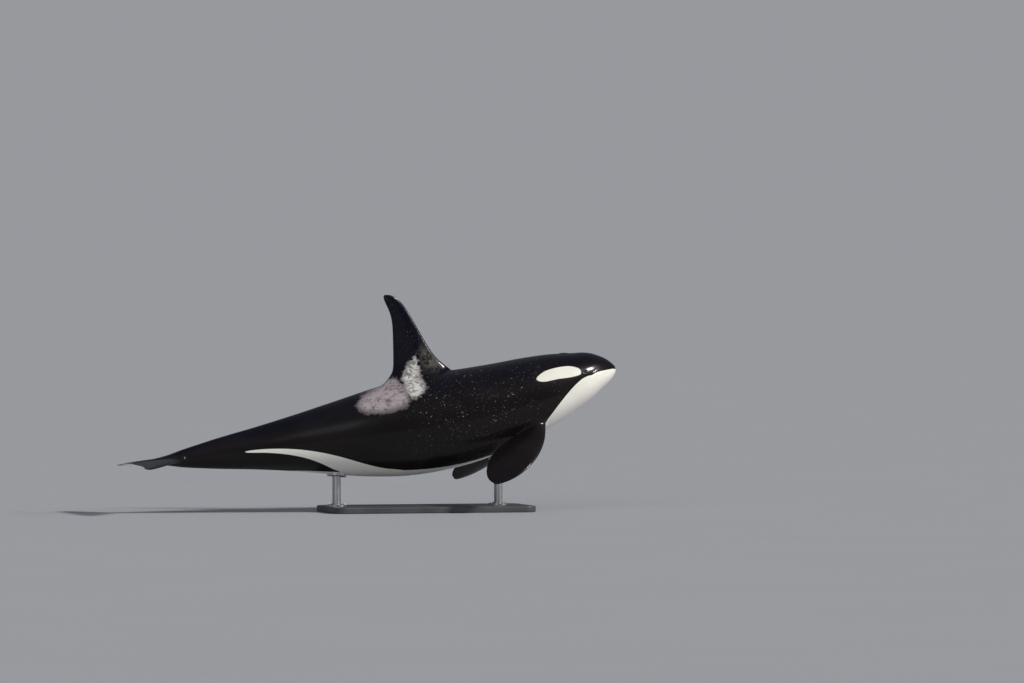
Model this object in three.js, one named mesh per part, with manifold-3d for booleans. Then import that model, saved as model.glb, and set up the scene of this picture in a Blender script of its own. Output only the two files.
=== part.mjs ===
import * as THREE from "three";
import { mergeVertices } from "three/addons/utils/BufferGeometryUtils.js";
import Module from "manifold-3d";

// A young male orca at life size, held over a flat base by two short rods, in the
// stance of surfacing to breathe: head lifted, back a little hollow, tail low.
// Millimetres, +X towards the snout, +Y to its left, +Z up. The origin is on the
// floor, under the middle of the base.

// The body is first shaped straight. "Along" is the distance back from the snout
// tip, y the distance to the left, z the height over the body's own axis. The
// outlines below are points of [along, size]; the spine then bends all of it.
const bodyLength = 6500; // snout tip to the notch between the flukes
const snoutTip = { x: 2536, z: 1852 };
const gap = 0.3; // between pieces that touch

const pitchDegrees = [
  [0, 17.5], [600, 17.5], [1200, 16.5], [1800, 14.5], [2400, 12], [3000, 9.5],
  [3800, 7.5], [4800, 7], [5600, 7.5], [6000, 6], [6500, 3],
];
const backLine = [
  [0, 0], [8, 28], [25, 60], [45, 90], [75, 130], [120, 177], [175, 221], [275, 286],
  [375, 326], [475, 351], [595, 384], [775, 430], [975, 468], [1225, 503], [1575, 537],
  [1975, 576], [2325, 606], [2675, 613], [3025, 592], [3400, 540], [3900, 452],
  [4400, 361], [4900, 276], [5400, 202], [5850, 124], [6100, 66], [6300, 36],
  [6430, 22], [6500, 12],
];
const bellyLine = [
  [0, 0], [8, -30], [25, -60], [55, -90], [110, -128], [190, -168], [300, -216],
  [460, -286], [680, -362], [930, -430], [1225, -500], [1625, -577], [2075, -632],
  [2575, -648], [3025, -623], [3500, -552], [3950, -458], [4400, -362], [4900, -272],
  [5400, -196], [5850, -118], [6100, -63], [6300, -35], [6430, -22], [6500, -12],
];
const halfWidth = [
  [0, 0], [8, 54], [25, 92], [55, 136], [100, 178], [185, 240], [280, 291], [395, 339],
  [535, 385], [725, 432], [975, 482], [1275, 526], [1675, 562], [2125, 577],
  [2575, 560], [3025, 516], [3500, 444], [4000, 352], [4500, 260], [5000, 178],
  [5500, 116], [5850, 92], [6100, 96], [6300, 94], [6430, 76], [6500, 30],
];
const widestHeight = [
  [0, 5], [300, 0], [600, -15], [1200, -45], [2200, -60], [3200, -40], [4500, -10],
  [5500, 0], [6500, 0],
];
// 2 makes a section elliptical; more makes it squarer, less makes it keeled.
const fullness = [
  [0, 2.1], [500, 2.25], [1500, 2.15], [3000, 2.05], [4200, 1.85], [5200, 1.65],
  [6500, 1.8],
];

const mouthLine = [[0, 6], [80, 18], [155, 30], [275, 49], [335, 53], [380, 46], [415, 29]];
const mouth = { corner: 415, grooveDepth: 11, lipHeight: 10, lipSwell: 2, chinSetBack: 12 };
const eye = { along: 488, height: 105, step: 23, ballRadius: 36, sunk: 30, tiltDegrees: 8 };
const opening = { length: 22, height: 12 }; // half the length and height of the eye's slit
const lidThickness = 6;
const blowhole = { along: 600, halfWidth: 44, bend: 26, rim: 7, depth: 24 };

// Leading and trailing edges of the dorsal fin as [along, height], root to tip.
const finLeading = [
  [2205, 656], [2318, 792], [2404, 960], [2492, 1198], [2580, 1430], [2654, 1576],
  [2758, 1682], [2873, 1736],
];
const finTrailing = [
  [3055, 640], [2957, 745], [2919, 935], [2887, 1120], [2861, 1290], [2855, 1415],
  [2876, 1536], [2933, 1690],
];
const finThickness = [124, 104, 88, 74, 62, 50, 38, 26];
const finLevels = [0, 0.07, 0.15, 0.25, 0.36, 0.48, 0.6, 0.72, 0.82, 0.9, 0.95, 0.978, 0.993, 1];

// Edges of a flipper as [distance out along the flipper, distance back].
const flipperLeading = [
  [-60, -215], [150, -258], [370, -260], [580, -226], [780, -150], [940, -50],
  [1050, 70], [1100, 150],
];
const flipperTrailing = [
  [190, 150], [300, 232], [420, 298], [560, 344], [720, 362], [880, 346],
  [1010, 296], [1090, 205],
];
const flipperThickness = [140, 122, 104, 88, 72, 56, 42, 28];
const flipperLevels = [0, 0.12, 0.26, 0.42, 0.58, 0.73, 0.86, 0.94, 0.975, 0.993, 1];
const flipperPose = { along: 1440, outward: 395, height: -372, sweepDegrees: 35, droopDegrees: 38 };

// Where the body is parted: along it, out from its middle or up from its axis.
const cuts = { neck: 1095, tail: 3700, finBase: 652, flukeRoot: 130, flipperRoot: 95 };
const throatCut = { along: 475, height: -420 }; // lower end of the cut behind the jaw

// How far each fin's first section stands off the body, where a hollow curve meets it.
const filletReach = { dorsalFin: 58, flipper: 62, fluke: 22 };

// Edges of a fluke as [distance out from the middle, along].
const flukeLeading = [
  [112, 5886], [180, 5946], [300, 6026], [450, 6120], [600, 6222], [740, 6332],
  [840, 6432], [900, 6520],
];
const flukeTrailing = [
  [112, 6552], [180, 6576], [300, 6575], [450, 6556], [600, 6544], [740, 6550],
  [840, 6566], [905, 6560],
];
const flukeThickness = [68, 67, 62, 54, 44, 35, 27, 18];
const flukeLevels = [0, 0.1, 0.24, 0.4, 0.56, 0.7, 0.83, 0.92, 0.97, 0.992, 1];
const flukeDroop = 50;

// Past this level every fin rounds off: its sections draw in to a share of their size,
// and its end stands out by another share of its chord.
const finEnd = { from: 0.92, size: 0.08, bulge: 0.11 };

const base = { length: 2700, width: 1150, height: 80, corner: 160, bevel: 14 };
const rod = { radius: 55, padRadius: 125, padThickness: 30, flangeRadius: 130, flangeHeight: 22 };
const rodPlaces = { front: 1800, rear: 3900 }; // along

// Columns run from the middle of the belly, 0, up the right side to the back.
const topColumn = 24;
const mouthColumn = 9;
const eyeColumns = [11, 15];
const flipperColumns = [5, 8];
const flukeColumns = [7, 17];
const finColumns = [22, 24];
const blowholeColumns = [22, 24];

// Along: where the columns follow the mouth and the eye, and where they let go.
const mouthFollowed = { full: 450, gone: 1150 };
const eyeFollowed = { from: 200, full: 440, still: 600, gone: 1100 };
const lipFullAlong = 100; // the lips are half as high at the snout tip, full from here
const eyeColumnCeiling = 0.8; // of the height of the back
// The columns are drawn together at both ends of the dorsal fin.
const finPinched = { share: 0.55, reach: 200, columns: 3 };
const filletBends = [0.3, 0.62]; // shares of the way along the curve of a fillet
const tailCap = 6; // how far the end of the stock stands behind its last row

// Streamlined section: its terms in the square root and first four powers of the chord.
const foilTerms = [2.969, -1.26, -3.516, 2.843, -0.936];

// Sizes of the thin slabs that part the skin, all larger than what they part.
const slabSizes = {
  neck: [gap, 3000, 3000],
  tail: [gap, 1600, 1600],
  dorsalFin: [1100, 500, gap],
  fluke: [1000, gap, 500],
  flipper: [900, gap, 420],
};
const jawSlabReach = 600; // to each side
const jawSlabAhead = 60; // how far it starts in front of the snout
const smallestPiece = 1e5; // cubic mm; what the cuts leave below this is dropped
const eyeFacets = { round: 20, high: 12 };
const rodFacets = 32;
const padReach = { down: 100, up: 200 }; // how far the pad is sought round the belly
const rodIntoBelly = 40; // before the belly is cut out of it

const radians = THREE.MathUtils.degToRad;
const mix = THREE.MathUtils.lerp;
const smooth = THREE.MathUtils.smoothstep;

function steps(from, step, count) {
  return Array.from({ length: count }, (_, k) => from + step * k);
}

const jawRows = steps(1, 1, 11).map((k) => mouth.corner * (k / 11) ** 1.5);
const eyeRows = steps(eye.along - 2 * eye.step, eye.step, 5);
const blowholeRows = [eyeRows[4], 575, 620, 670];
const flipperRows = steps(1200, 84, 7);
const finRows = steps(2155, 99, 11);
const flukeRows = steps(5840, 82, 9);
const rows = [
  ...jawRows, ...eyeRows, ...blowholeRows.slice(1), 735, 810, 895, 990, 1095,
  ...flipperRows, ...steps(1775, 95, 4), ...finRows, ...steps(3240, 180, 14),
  ...flukeRows, bodyLength,
];

// A smooth curve through points of [place, value], read at any place. Read by the
// square root of the place, the outlines that start at nothing are round there.
function curve(points, by = (place) => place) {
  const places = points.map((point) => by(point[0]));
  const last = points.length - 1;
  const slopes = points.map((_, i) => {
    const before = Math.max(i - 1, 0);
    const after = Math.min(i + 1, last);
    return (points[after][1] - points[before][1]) / (places[after] - places[before]);
  });
  return (place) => {
    const x = Math.min(Math.max(by(place), places[0]), places[last]);
    const i = Math.min(places.filter((p) => p <= x).length - 1, last - 1);
    const width = places[i + 1] - places[i];
    const t = (x - places[i]) / width;
    const bend = t * t * (3 - 2 * t);
    return (
      mix(points[i][1], points[i + 1][1], bend) +
      width * t * (1 - t) * (slopes[i] * (1 - t) - slopes[i + 1] * t)
    );
  };
}

const pitchAt = curve(pitchDegrees);
const backAt = curve(backLine, Math.sqrt);
const bellyAt = curve(bellyLine, Math.sqrt);
const widthAt = curve(halfWidth, Math.sqrt);
const widestAt = curve(widestHeight);
const fullnessAt = curve(fullness);
const mouthAt = curve(mouthLine);

// The spine, added up in short steps from the snout tip.
const spineStep = 10;
const spine = [{ x: snoutTip.x, z: snoutTip.z }];
for (let along = spineStep / 2; along < bodyLength + 200; along += spineStep) {
  const pitch = radians(pitchAt(along));
  const { x, z } = spine.at(-1);
  spine.push({ x: x - spineStep * Math.cos(pitch), z: z - spineStep * Math.sin(pitch) });
}

function spineAt(along) {
  const i = Math.min(Math.max(Math.floor(along / spineStep), 0), spine.length - 2);
  const t = along / spineStep - i;
  return {
    x: mix(spine[i].x, spine[i + 1].x, t),
    z: mix(spine[i].z, spine[i + 1].z, t),
    pitch: radians(pitchAt(along)),
  };
}

// Takes a point of the straight body to its place. A stiff piece keeps its shape,
// and turns with the spine at its anchor.
function posed([along, y, z], anchor = along) {
  const s = spineAt(anchor);
  const back = along - anchor;
  return new THREE.Vector3(
    s.x - back * Math.cos(s.pitch) - z * Math.sin(s.pitch),
    y,
    s.z - back * Math.sin(s.pitch) + z * Math.cos(s.pitch),
  );
}

// A point on the right side of the straight body; angle 0 is its widest line.
// Grown moves the whole surface outwards.
function surface(along, angle, grown = 0) {
  const power = 2 / fullnessAt(along);
  const middle = widestAt(along);
  const edge = angle > 0 ? backAt(along) + grown : bellyAt(along) - grown;
  return [
    along,
    -(widthAt(along) + grown) * Math.cos(angle) ** power,
    middle + (edge - middle) * Math.abs(Math.sin(angle)) ** power,
  ];
}

function angleAt(along, height) {
  const middle = widestAt(along);
  const edge = height > middle ? backAt(along) : bellyAt(along);
  const share = Math.min((height - middle) / (edge - middle), 1);
  return Math.sign(height - middle) * Math.asin(share ** (fullnessAt(along) / 2));
}

// The angles of the columns at one row. Those of the head follow the mouth and the
// eye, and they even out towards the shoulder.
function columnAngles(along) {
  const even = (j) => radians((180 * j) / topColumn - 90);
  const inHead = 1 - smooth(along, mouthFollowed.full, mouthFollowed.gone);
  const nearEye = smooth(along, eyeFollowed.from, eyeFollowed.full) *
    (1 - smooth(along, eyeFollowed.still, eyeFollowed.gone));
  const lip = (mouth.lipHeight / 2) * (1 + Math.min(1, along / lipFullAlong));
  const angles = [];
  for (const side of [-1, 0, 1]) {
    const inMouth = angleAt(along, mouthAt(along) + side * lip);
    angles[mouthColumn + side] = mix(even(mouthColumn + side), inMouth, inHead);
  }
  const lowerLip = mouthColumn - 1;
  const upperLip = mouthColumn + 1;
  for (let j = 0; j < lowerLip; j++)
    angles[j] = mix(-Math.PI / 2, angles[lowerLip], j / lowerLip);
  const [low, high] = eyeColumns;
  for (let j = low; j <= high; j++) {
    const share = (j - upperLip) / (topColumn - upperLip);
    const spread = mix(angles[upperLip], Math.PI / 2, share);
    const height = eye.height + (j - (low + high) / 2) * eye.step;
    const capped = Math.min(height, eyeColumnCeiling * backAt(along));
    angles[j] = mix(spread, angleAt(along, capped), nearEye);
  }
  for (let j = high + 1; j <= topColumn; j++)
    angles[j] = mix(angles[high], Math.PI / 2, (j - high) / (topColumn - high));
  return angles.map((angle, j) => mix(angle, Math.PI / 2, finPinch(along, j)));
}

// How far a column is drawn towards the middle of the back at both ends of the fin.
function finPinch(along, j) {
  const away = Math.min(...[finRows[0], finRows.at(-1)].map((end) => Math.abs(along - end)));
  const nearMiddle = smooth(j, finColumns[0] - finPinched.columns, finColumns[0]);
  return finPinched.share * (1 - smooth(away, 0, finPinched.reach)) * nearMiddle;
}

// How far the mouth's groove, negative, and its lips stand out of the surface.
function mouthRelief(along, j) {
  const fade = 1 - smooth(along, mouth.corner - 50, mouth.corner + 30);
  if (j === mouthColumn) return -mouth.grooveDepth * fade;
  return Math.abs(j - mouthColumn) === 1 ? mouth.lipSwell * fade : 0;
}

function bodyRow(along, grown) {
  const middle = widestAt(along);
  return columnAngles(along).map((angle, j) => {
    const [, y, z] = surface(along, angle, grown);
    const scale = 1 + mouthRelief(along, j) / Math.hypot(y, z - middle);
    return [along, j % topColumn ? y * scale : 0, middle + (z - middle) * scale];
  });
}

// The front of the snout: the first row's heights, brought round to the middle.
function frontRow(first) {
  return first.map(([along, , z], j) => {
    if (j % topColumn === 0) return first[j];
    const edge = z > 0 ? first[topColumn][2] : first[0][2];
    const chin = j < mouthColumn ? mouth.chinSetBack * (1 - Math.abs(z / edge)) : 0;
    return [along * (z / edge) ** 2 + chin - mouthRelief(0, j), 0, z];
  });
}

// Faces are arrays of straight or posed points. A strip joins two chains of points.
function strip(from, to, closed) {
  const count = closed ? from.length : from.length - 1;
  return Array.from({ length: count }, (_, k) => {
    const next = (k + 1) % from.length;
    return [from[k], from[next], to[next], to[k]];
  });
}

function strips(chains, closed) {
  return chains.slice(1).flatMap((chain, k) => strip(chains[k], chain, closed));
}

// The edge of a block of faces, counter-clockwise from outside, from its lower
// front corner. At the back's middle line it stays open, from rear to front.
function blockEdge(grid, [front, rear], [low, high]) {
  const line = (count, pick) => Array.from({ length: count }, (_, k) => pick(k));
  const up = line(high - low, (k) => grid[front][low + k]);
  const back = line(rear - front, (k) => grid[front + k][high]);
  const down = line(high - low, (k) => grid[rear][high - k]);
  const forward = line(rear - front, (k) => grid[rear - k][low]);
  return high === topColumn ? [...down, ...forward, ...up, grid[front][high]]
    : [...up, ...back, ...down, ...forward];
}

// Half the thickness of a streamlined section, as a share, at a share of its chord.
function foil(chord) {
  const [root, ...powers] = foilTerms;
  return powers.reduce((sum, term, k) => sum + term * chord ** (k + 1), root * Math.sqrt(chord));
}

// One closed section as [share of chord, share of thickness], in the order of
// blockEdge, with its leading and trailing edges as tall as the block's columns.
function sectionShares(rowCount, columnCount) {
  const nose = 0.035;
  const tail = 0.975;
  const side = steps(0, 1, rowCount + 1).map((k) => mix(nose, tail, k / rowCount));
  const across = steps(0, 1, columnCount + 1).map((k) => (2 * k) / columnCount - 1);
  const leading = across.map((t) => [nose * t * t, foil(nose) * t]);
  const trailing = across.map((t) => [1 - (1 - tail) * t * t, -foil(tail) * t]);
  const upper = side.slice(1, -1).map((c) => [c, foil(c)]);
  const lower = side.slice(1, -1).reverse().map((c) => [c, -foil(c)]);
  return [...leading, ...upper, ...trailing, ...lower];
}

function alongEdge(edge, level) {
  const read = (axis) => curve(edge.map((point, k) => [k / (edge.length - 1), point[axis]]))(level);
  return new THREE.Vector2(read(0), read(1));
}

// Reads one level of a fin's edges: both ends of its chord and half its thickness,
// which draw in along a quarter circle towards the tip.
function finLevel(level, leading, trailing, thickness) {
  const middleAt = (place) => alongEdge(leading, place).lerp(alongEdge(trailing, place), 0.5);
  const past = Math.max(0, (level - finEnd.from) / (1 - finEnd.from));
  const closing = 1 - Math.sqrt(1 - past ** 2);
  const drawn = (1 - finEnd.size) * closing;
  const middle = middleAt(level);
  const chord = alongEdge(leading, level).distanceTo(alongEdge(trailing, level));
  const outward = middle.clone().sub(middleAt(finEnd.from)).setLength(chord * finEnd.bulge * closing);
  const [front, rear] = [leading, trailing].map((edge) =>
    alongEdge(edge, level).lerp(middle, drawn).add(outward).toArray());
  const whole = alongEdge(thickness.map((size) => [size, 0]), level).x;
  return { front, rear, half: level === 1 ? 0 : (whole * (1 - drawn)) / 2 };
}

// Loops that bend from a hole's edge into the first section of a fin: each point is
// on a curve that leaves the body level and arrives in line with the fin.
function filleted(edge, loops, reach) {
  const [first, second] = loops;
  const bends = filletBends.map((t) =>
    first.map((point, k) => {
      const corner = point.clone().sub(second[k]).setLength(reach).add(point);
      const start = edge[k].clone().lerp(corner, t);
      return start.lerp(corner.lerp(point, t), t);
    }));
  return [edge, ...bends, ...loops];
}

// Half a section, from the trailing edge to the leading one.
function halfSectionShares(rowCount, columnCount) {
  const [nose, tail] = [0.04, 0.96];
  const leading = steps(0, 1, columnCount).map((k) => nose * (k / columnCount) ** 2);
  const side = steps(0, 1, rowCount + 1).map((k) => mix(nose, tail, k / rowCount));
  const trailing = leading.map((chord) => 1 - chord).reverse();
  const ends = [0, 1];
  return [...leading, ...side, ...trailing].reverse()
    .map((chord) => [chord, ends.includes(chord) ? 0 : foil(chord)]);
}

function dorsalFin(edge) {
  const shares = halfSectionShares(finRows.length - 1, finColumns[1] - finColumns[0]);
  const loops = finLevels.map((level) => {
    const { front, rear, half } = finLevel(level, finLeading, finTrailing, finThickness);
    return shares.map(([chord, thick]) =>
      [mix(front[0], rear[0], chord), -half * thick, mix(front[1], rear[1], chord)]);
  });
  const placed = loops.map((loop) => loop.map((point) => posed(point)));
  return strips(filleted(edge, placed, filletReach.dorsalFin), false);
}

function flipper(edge) {
  const droop = radians(flipperPose.droopDegrees);
  const sweep = radians(flipperPose.sweepDegrees);
  const sideways = [0, -Math.cos(droop), -Math.sin(droop)];
  const upper = [0, -Math.sin(droop), Math.cos(droop)];
  const root = [flipperPose.along, -flipperPose.outward, flipperPose.height];
  const shares = sectionShares(flipperRows.length - 1, flipperColumns[1] - flipperColumns[0]);
  const loops = flipperLevels.map((level) => {
    const { front, rear, half } = finLevel(level, flipperLeading, flipperTrailing, flipperThickness);
    return shares.map(([chord, thick]) => {
      const out = mix(front[0], rear[0], chord);
      const back = mix(front[1], rear[1], chord);
      const aside = out * Math.cos(sweep) - back * Math.sin(sweep);
      const point = root.map((from, axis) =>
        from + sideways[axis] * aside + upper[axis] * half * thick);
      point[0] += out * Math.sin(sweep) + back * Math.cos(sweep);
      return posed(point, flipperPose.along);
    });
  });
  return strips(filleted(edge, loops, filletReach.flipper), true);
}

function fluke(edge) {
  const shares = sectionShares(flukeRows.length - 1, flukeColumns[1] - flukeColumns[0]);
  const tip = flukeTrailing.at(-1)[0];
  const loops = flukeLevels.map((level) => {
    const { front, rear, half } = finLevel(level, flukeLeading, flukeTrailing, flukeThickness);
    return shares.map(([chord, thick]) => {
      const out = mix(front[0], rear[0], chord);
      const droop = flukeDroop * (out / tip) ** 2;
      return posed([mix(front[1], rear[1], chord), -out, half * thick - droop]);
    });
  });
  return strips(filleted(edge, loops, filletReach.fluke), true);
}

// The eye's place on the straight body, with the directions ahead, up and out.
function eyeFrame() {
  const onSide = (along, height) =>
    new THREE.Vector3(...surface(along, angleAt(along, height)));
  const at = onSide(eye.along, eye.height);
  const ahead = onSide(eye.along - 1, eye.height).sub(at).normalize();
  const up = onSide(eye.along, eye.height + 1).sub(at).normalize();
  const out = up.clone().cross(ahead).normalize();
  return { at, ahead, up, out, onSide };
}

// The lids as loops round the eye, each wider and taller than its opening, with how
// far it stands out. The inner ones follow the ball, and the faces close behind it.
function eyelids(edge) {
  const { ahead, up, out, at, onSide } = eyeFrame();
  const tilt = radians(eye.tiltDegrees);
  const ball = (reach) => Math.sqrt(Math.max(eye.ballRadius ** 2 - reach ** 2, 0)) - eye.sunk;
  const sizes = [
    { wider: 21, taller: 24, stand: () => 2 },
    { wider: 12, taller: 13, stand: () => lidThickness },
    { wider: 5, taller: 5, stand: (reach) => ball(reach) + lidThickness },
    { wider: 0, taller: 0, stand: (reach) => ball(reach) + 1 },
    { wider: -opening.length, taller: -opening.height, stand: () => -eye.ballRadius / 2 },
  ];
  const loops = sizes.map(({ wider, taller, stand }) =>
    edge.map((_, k) => {
      const turn = (2 * Math.PI * (k - 2)) / edge.length;
      const u = (opening.length + wider) * Math.cos(turn);
      const v = (opening.height + taller) * Math.sin(turn);
      const forward = u * Math.cos(tilt) + v * Math.sin(tilt);
      const upward = v * Math.cos(tilt) - u * Math.sin(tilt);
      const reach = Math.hypot(u, v);
      const flat = at.clone().addScaledVector(ahead, forward).addScaledVector(up, upward);
      const curved = onSide(eye.along - forward, eye.height + upward);
      const point = wider > lidThickness ? curved : flat;
      return posed(point.addScaledVector(out, stand(reach)).toArray());
    }));
  return strips([edge, ...loops], true);
}

// The blowhole: a raised rim round a slit bent like a crescent, its ends forward.
function blowholeFaces(edge) {
  const sizes = [
    { length: 52, wider: 24, depth: -blowhole.rim / 2, bend: 0.3 },
    { length: 34, wider: 8, depth: -blowhole.rim, bend: 0.7 },
    { length: 14, wider: 0, depth: -blowhole.rim, bend: 1 },
    { length: 5, wider: -4, depth: blowhole.depth / 6, bend: 1 },
    { length: 0, wider: -8, depth: blowhole.depth, bend: 1 },
  ];
  const loops = sizes.map(({ length, wider, depth, bend }) =>
    edge.map((_, k) => {
      const turn = (Math.PI * k) / (edge.length - 1);
      const y = -(blowhole.halfWidth + wider) * Math.sin(turn);
      const hollow = blowhole.bend * bend * (1 - (y / blowhole.halfWidth) ** 2);
      const along = blowhole.along + length * Math.cos(turn) + hollow;
      const rise = backAt(along) - widestAt(along);
      const fall = rise * (1 - Math.sqrt(1 - (y / widthAt(along)) ** 2));
      const onMiddle = k === 0 || k === edge.length - 1;
      return posed([along, onMiddle ? 0 : y, backAt(along) - fall - depth]);
    }));
  return strips([edge, ...loops], false);
}

const rowAt = (along) => rows.indexOf(along) + 1; // after the front row

// The whole skin as faces of posed points: the right half, then its mirror image.
function skinFaces(grown = 0) {
  const rings = rows.map((along) => bodyRow(along, grown));
  const end = rings.at(-1).map(() => [bodyLength + tailCap, 0, 0]);
  const straight = [frontRow(rings[0]), ...rings, end];
  const grid = straight.map((row) => row.map((point) => posed(point)));
  const grownParts = [
    { rows: finRows, columns: finColumns, make: dorsalFin },
    { rows: blowholeRows, columns: blowholeColumns, make: blowholeFaces },
    { rows: flipperRows, columns: flipperColumns, make: flipper },
    { rows: flukeRows, columns: flukeColumns, make: fluke },
    { rows: eyeRows, columns: eyeColumns, make: eyelids },
  ].map((part) => ({ ...part, span: [rowAt(part.rows[0]), rowAt(part.rows.at(-1))] }));
  const open = (i, j) =>
    grownParts.some(({ span, columns }) =>
      i >= span[0] && i < span[1] && j >= columns[0] && j < columns[1]);
  const right = [];
  for (let i = 0; i < grid.length - 1; i++)
    for (let j = 0; j < topColumn; j++)
      if (!open(i, j))
        right.push([grid[i][j], grid[i][j + 1], grid[i + 1][j + 1], grid[i + 1][j]]);
  for (const { span, columns, make } of grownParts)
    right.push(...make(blockEdge(grid, span, columns)));
  const mirrored = (point) => new THREE.Vector3(point.x, -point.y, point.z);
  const left = right.map((face) => face.map(mirrored).reverse());
  return [...right, ...left];
}

// Cuts each four-sided face along its shorter diagonal.
function facesToGeometry(faces) {
  const corners = [];
  for (const [a, b, c, d] of faces) {
    const cut = a.distanceTo(c) <= b.distanceTo(d) ? [a, b, c, a, c, d] : [a, b, d, b, c, d];
    for (const point of cut) corners.push(...point.toArray());
  }
  const geometry = new THREE.BufferGeometry();
  geometry.setAttribute("position", new THREE.Float32BufferAttribute(corners, 3));
  return geometry;
}

const wasm = await Module();
wasm.setup();

// A closed geometry as a solid, after its matching corners are merged and the
// triangles that this leaves without area are dropped.
function solid(geometry) {
  const bare = geometry.index ? geometry.toNonIndexed() : geometry.clone();
  for (const name of ["normal", "uv"]) bare.deleteAttribute(name);
  const merged = mergeVertices(bare, 0.01);
  const kept = [];
  const index = merged.index.array;
  for (let i = 0; i < index.length; i += 3) {
    const [a, b, c] = index.slice(i, i + 3);
    if (a !== b && b !== c && c !== a) kept.push(a, b, c);
  }
  return new wasm.Manifold(new wasm.Mesh({
    numProp: 3,
    vertProperties: merged.attributes.position.array,
    triVerts: new Uint32Array(kept),
  }));
}

function largest(whole) {
  return whole.decompose().sort((a, b) => b.volume() - a.volume())[0];
}

function geometryOf(whole) {
  const { vertProperties, triVerts } = whole.getMesh();
  const geometry = new THREE.BufferGeometry();
  geometry.setAttribute("position", new THREE.BufferAttribute(vertProperties, 3));
  geometry.setIndex(new THREE.BufferAttribute(triVerts, 1));
  geometry.computeVertexNormals();
  return geometry;
}

// A thin slab that parts the skin, squared to the spine at a point of the straight body.
function slab([along, y, z], size) {
  const centre = posed([along, y, z]);
  const geometry = new THREE.BoxGeometry(...size);
  geometry.rotateY(-spineAt(along).pitch);
  geometry.translate(centre.x, centre.y, centre.z);
  return solid(geometry);
}

// Parts the lower jaw along the groove of the mouth, and then down behind the chin.
function jawSlab() {
  const lips = [-jawSlabAhead, 0, ...jawRows].map((along) => [along, mouthAt(Math.max(along, 0))]);
  const throat = [throatCut.along, throatCut.height];
  const outline = [...lips, throat].map(([along, z]) => posed([along, 0, z]));
  const shape = new THREE.Shape();
  outline.forEach((p, k) => (k ? shape.lineTo(p.x, p.z) : shape.moveTo(p.x, p.z)));
  for (const p of outline.reverse()) shape.lineTo(p.x + gap, p.z - gap);
  const depth = 2 * jawSlabReach;
  const geometry = new THREE.ExtrudeGeometry(shape, { depth, bevelEnabled: false });
  geometry.rotateX(Math.PI / 2);
  geometry.translate(0, jawSlabReach, 0);
  return solid(geometry);
}

function flukeSlab(side) {
  const middle = (flukeRows[0] + bodyLength) / 2;
  return slab([middle, -side * cuts.flukeRoot, 0], slabSizes.fluke);
}

function flipperSlab(side) {
  const { along, outward, height, droopDegrees } = flipperPose;
  const droop = radians(droopDegrees);
  const geometry = new THREE.BoxGeometry(...slabSizes.flipper);
  geometry.rotateX(side * droop);
  geometry.rotateY(-spineAt(along).pitch);
  const aside = outward + cuts.flipperRoot * Math.cos(droop);
  const place = posed([along, -side * aside, height - cuts.flipperRoot * Math.sin(droop)]);
  geometry.translate(place.x, place.y, place.z);
  return solid(geometry);
}

function eyeBall(side, radius) {
  const { at, out } = eyeFrame();
  const centre = posed(at.addScaledVector(out, -eye.sunk).toArray());
  const geometry = new THREE.SphereGeometry(radius, eyeFacets.round, eyeFacets.high);
  geometry.rotateX(Math.PI / 2);
  geometry.translate(centre.x, -side * Math.abs(centre.y), centre.z);
  return solid(geometry);
}

// Both eye balls, and the flesh parted into its nodes by thin slabs.
function fleshPieces() {
  let flesh = solid(facesToGeometry(skinFaces()));
  const finMiddle = (finLeading[0][0] + finTrailing[0][0]) / 2;
  const removed = [
    jawSlab(),
    slab([cuts.neck, 0, 0], slabSizes.neck),
    slab([cuts.tail, 0, 0], slabSizes.tail),
    slab([finMiddle, 0, cuts.finBase], slabSizes.dorsalFin),
    ...[1, -1].map(flukeSlab),
    ...[1, -1].map(flipperSlab),
    ...[1, -1].map((side) => eyeBall(side, eye.ballRadius + gap)),
  ];
  for (const cut of removed) flesh = flesh.subtract(cut);
  const places = {
    head: [650, 0, 100],
    lower_jaw: [230, 0, -60],
    torso: [2400, 0, 0],
    tail_stock: [5000, 0, 0],
    dorsal_fin: [2680, 0, 1150],
    flipper_right: [1950, -850, -700],
    flipper_left: [1950, 850, -700],
    fluke_right: [6350, -450, 0],
    fluke_left: [6350, 450, 0],
  };
  const found = flesh.decompose().filter((piece) => piece.volume() > smallestPiece);
  const pieces = {};
  for (const [name, place] of Object.entries(places)) {
    const goal = posed(place);
    const distance = (piece) => {
      const { min, max } = piece.boundingBox();
      return new THREE.Box3(new THREE.Vector3(...min), new THREE.Vector3(...max))
        .getCenter(new THREE.Vector3()).distanceTo(goal);
    };
    found.sort((a, b) => distance(a) - distance(b));
    pieces[name] = found.shift();
  }
  pieces.eye_right = eyeBall(1, eye.ballRadius);
  pieces.eye_left = eyeBall(-1, eye.ballRadius);
  return pieces;
}

function roundedRectangle(length, width, corner) {
  const shape = new THREE.Shape();
  const [x, y] = [length / 2 - corner, width / 2 - corner];
  shape.absarc(x, y, corner, 0, Math.PI / 2);
  shape.absarc(-x, y, corner, Math.PI / 2, Math.PI);
  shape.absarc(-x, -y, corner, Math.PI, 1.5 * Math.PI);
  shape.absarc(x, -y, corner, 1.5 * Math.PI, 2 * Math.PI);
  return shape;
}

function standBase() {
  const { length, width, height, corner, bevel } = base;
  const shape = roundedRectangle(length - 2 * bevel, width - 2 * bevel, corner - bevel);
  const geometry = new THREE.ExtrudeGeometry(shape, {
    depth: height - 2 * bevel,
    bevelThickness: bevel,
    bevelSize: bevel,
    bevelSegments: 2,
    curveSegments: 7,
  });
  geometry.translate(0, 0, bevel);
  return solid(geometry);
}

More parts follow.
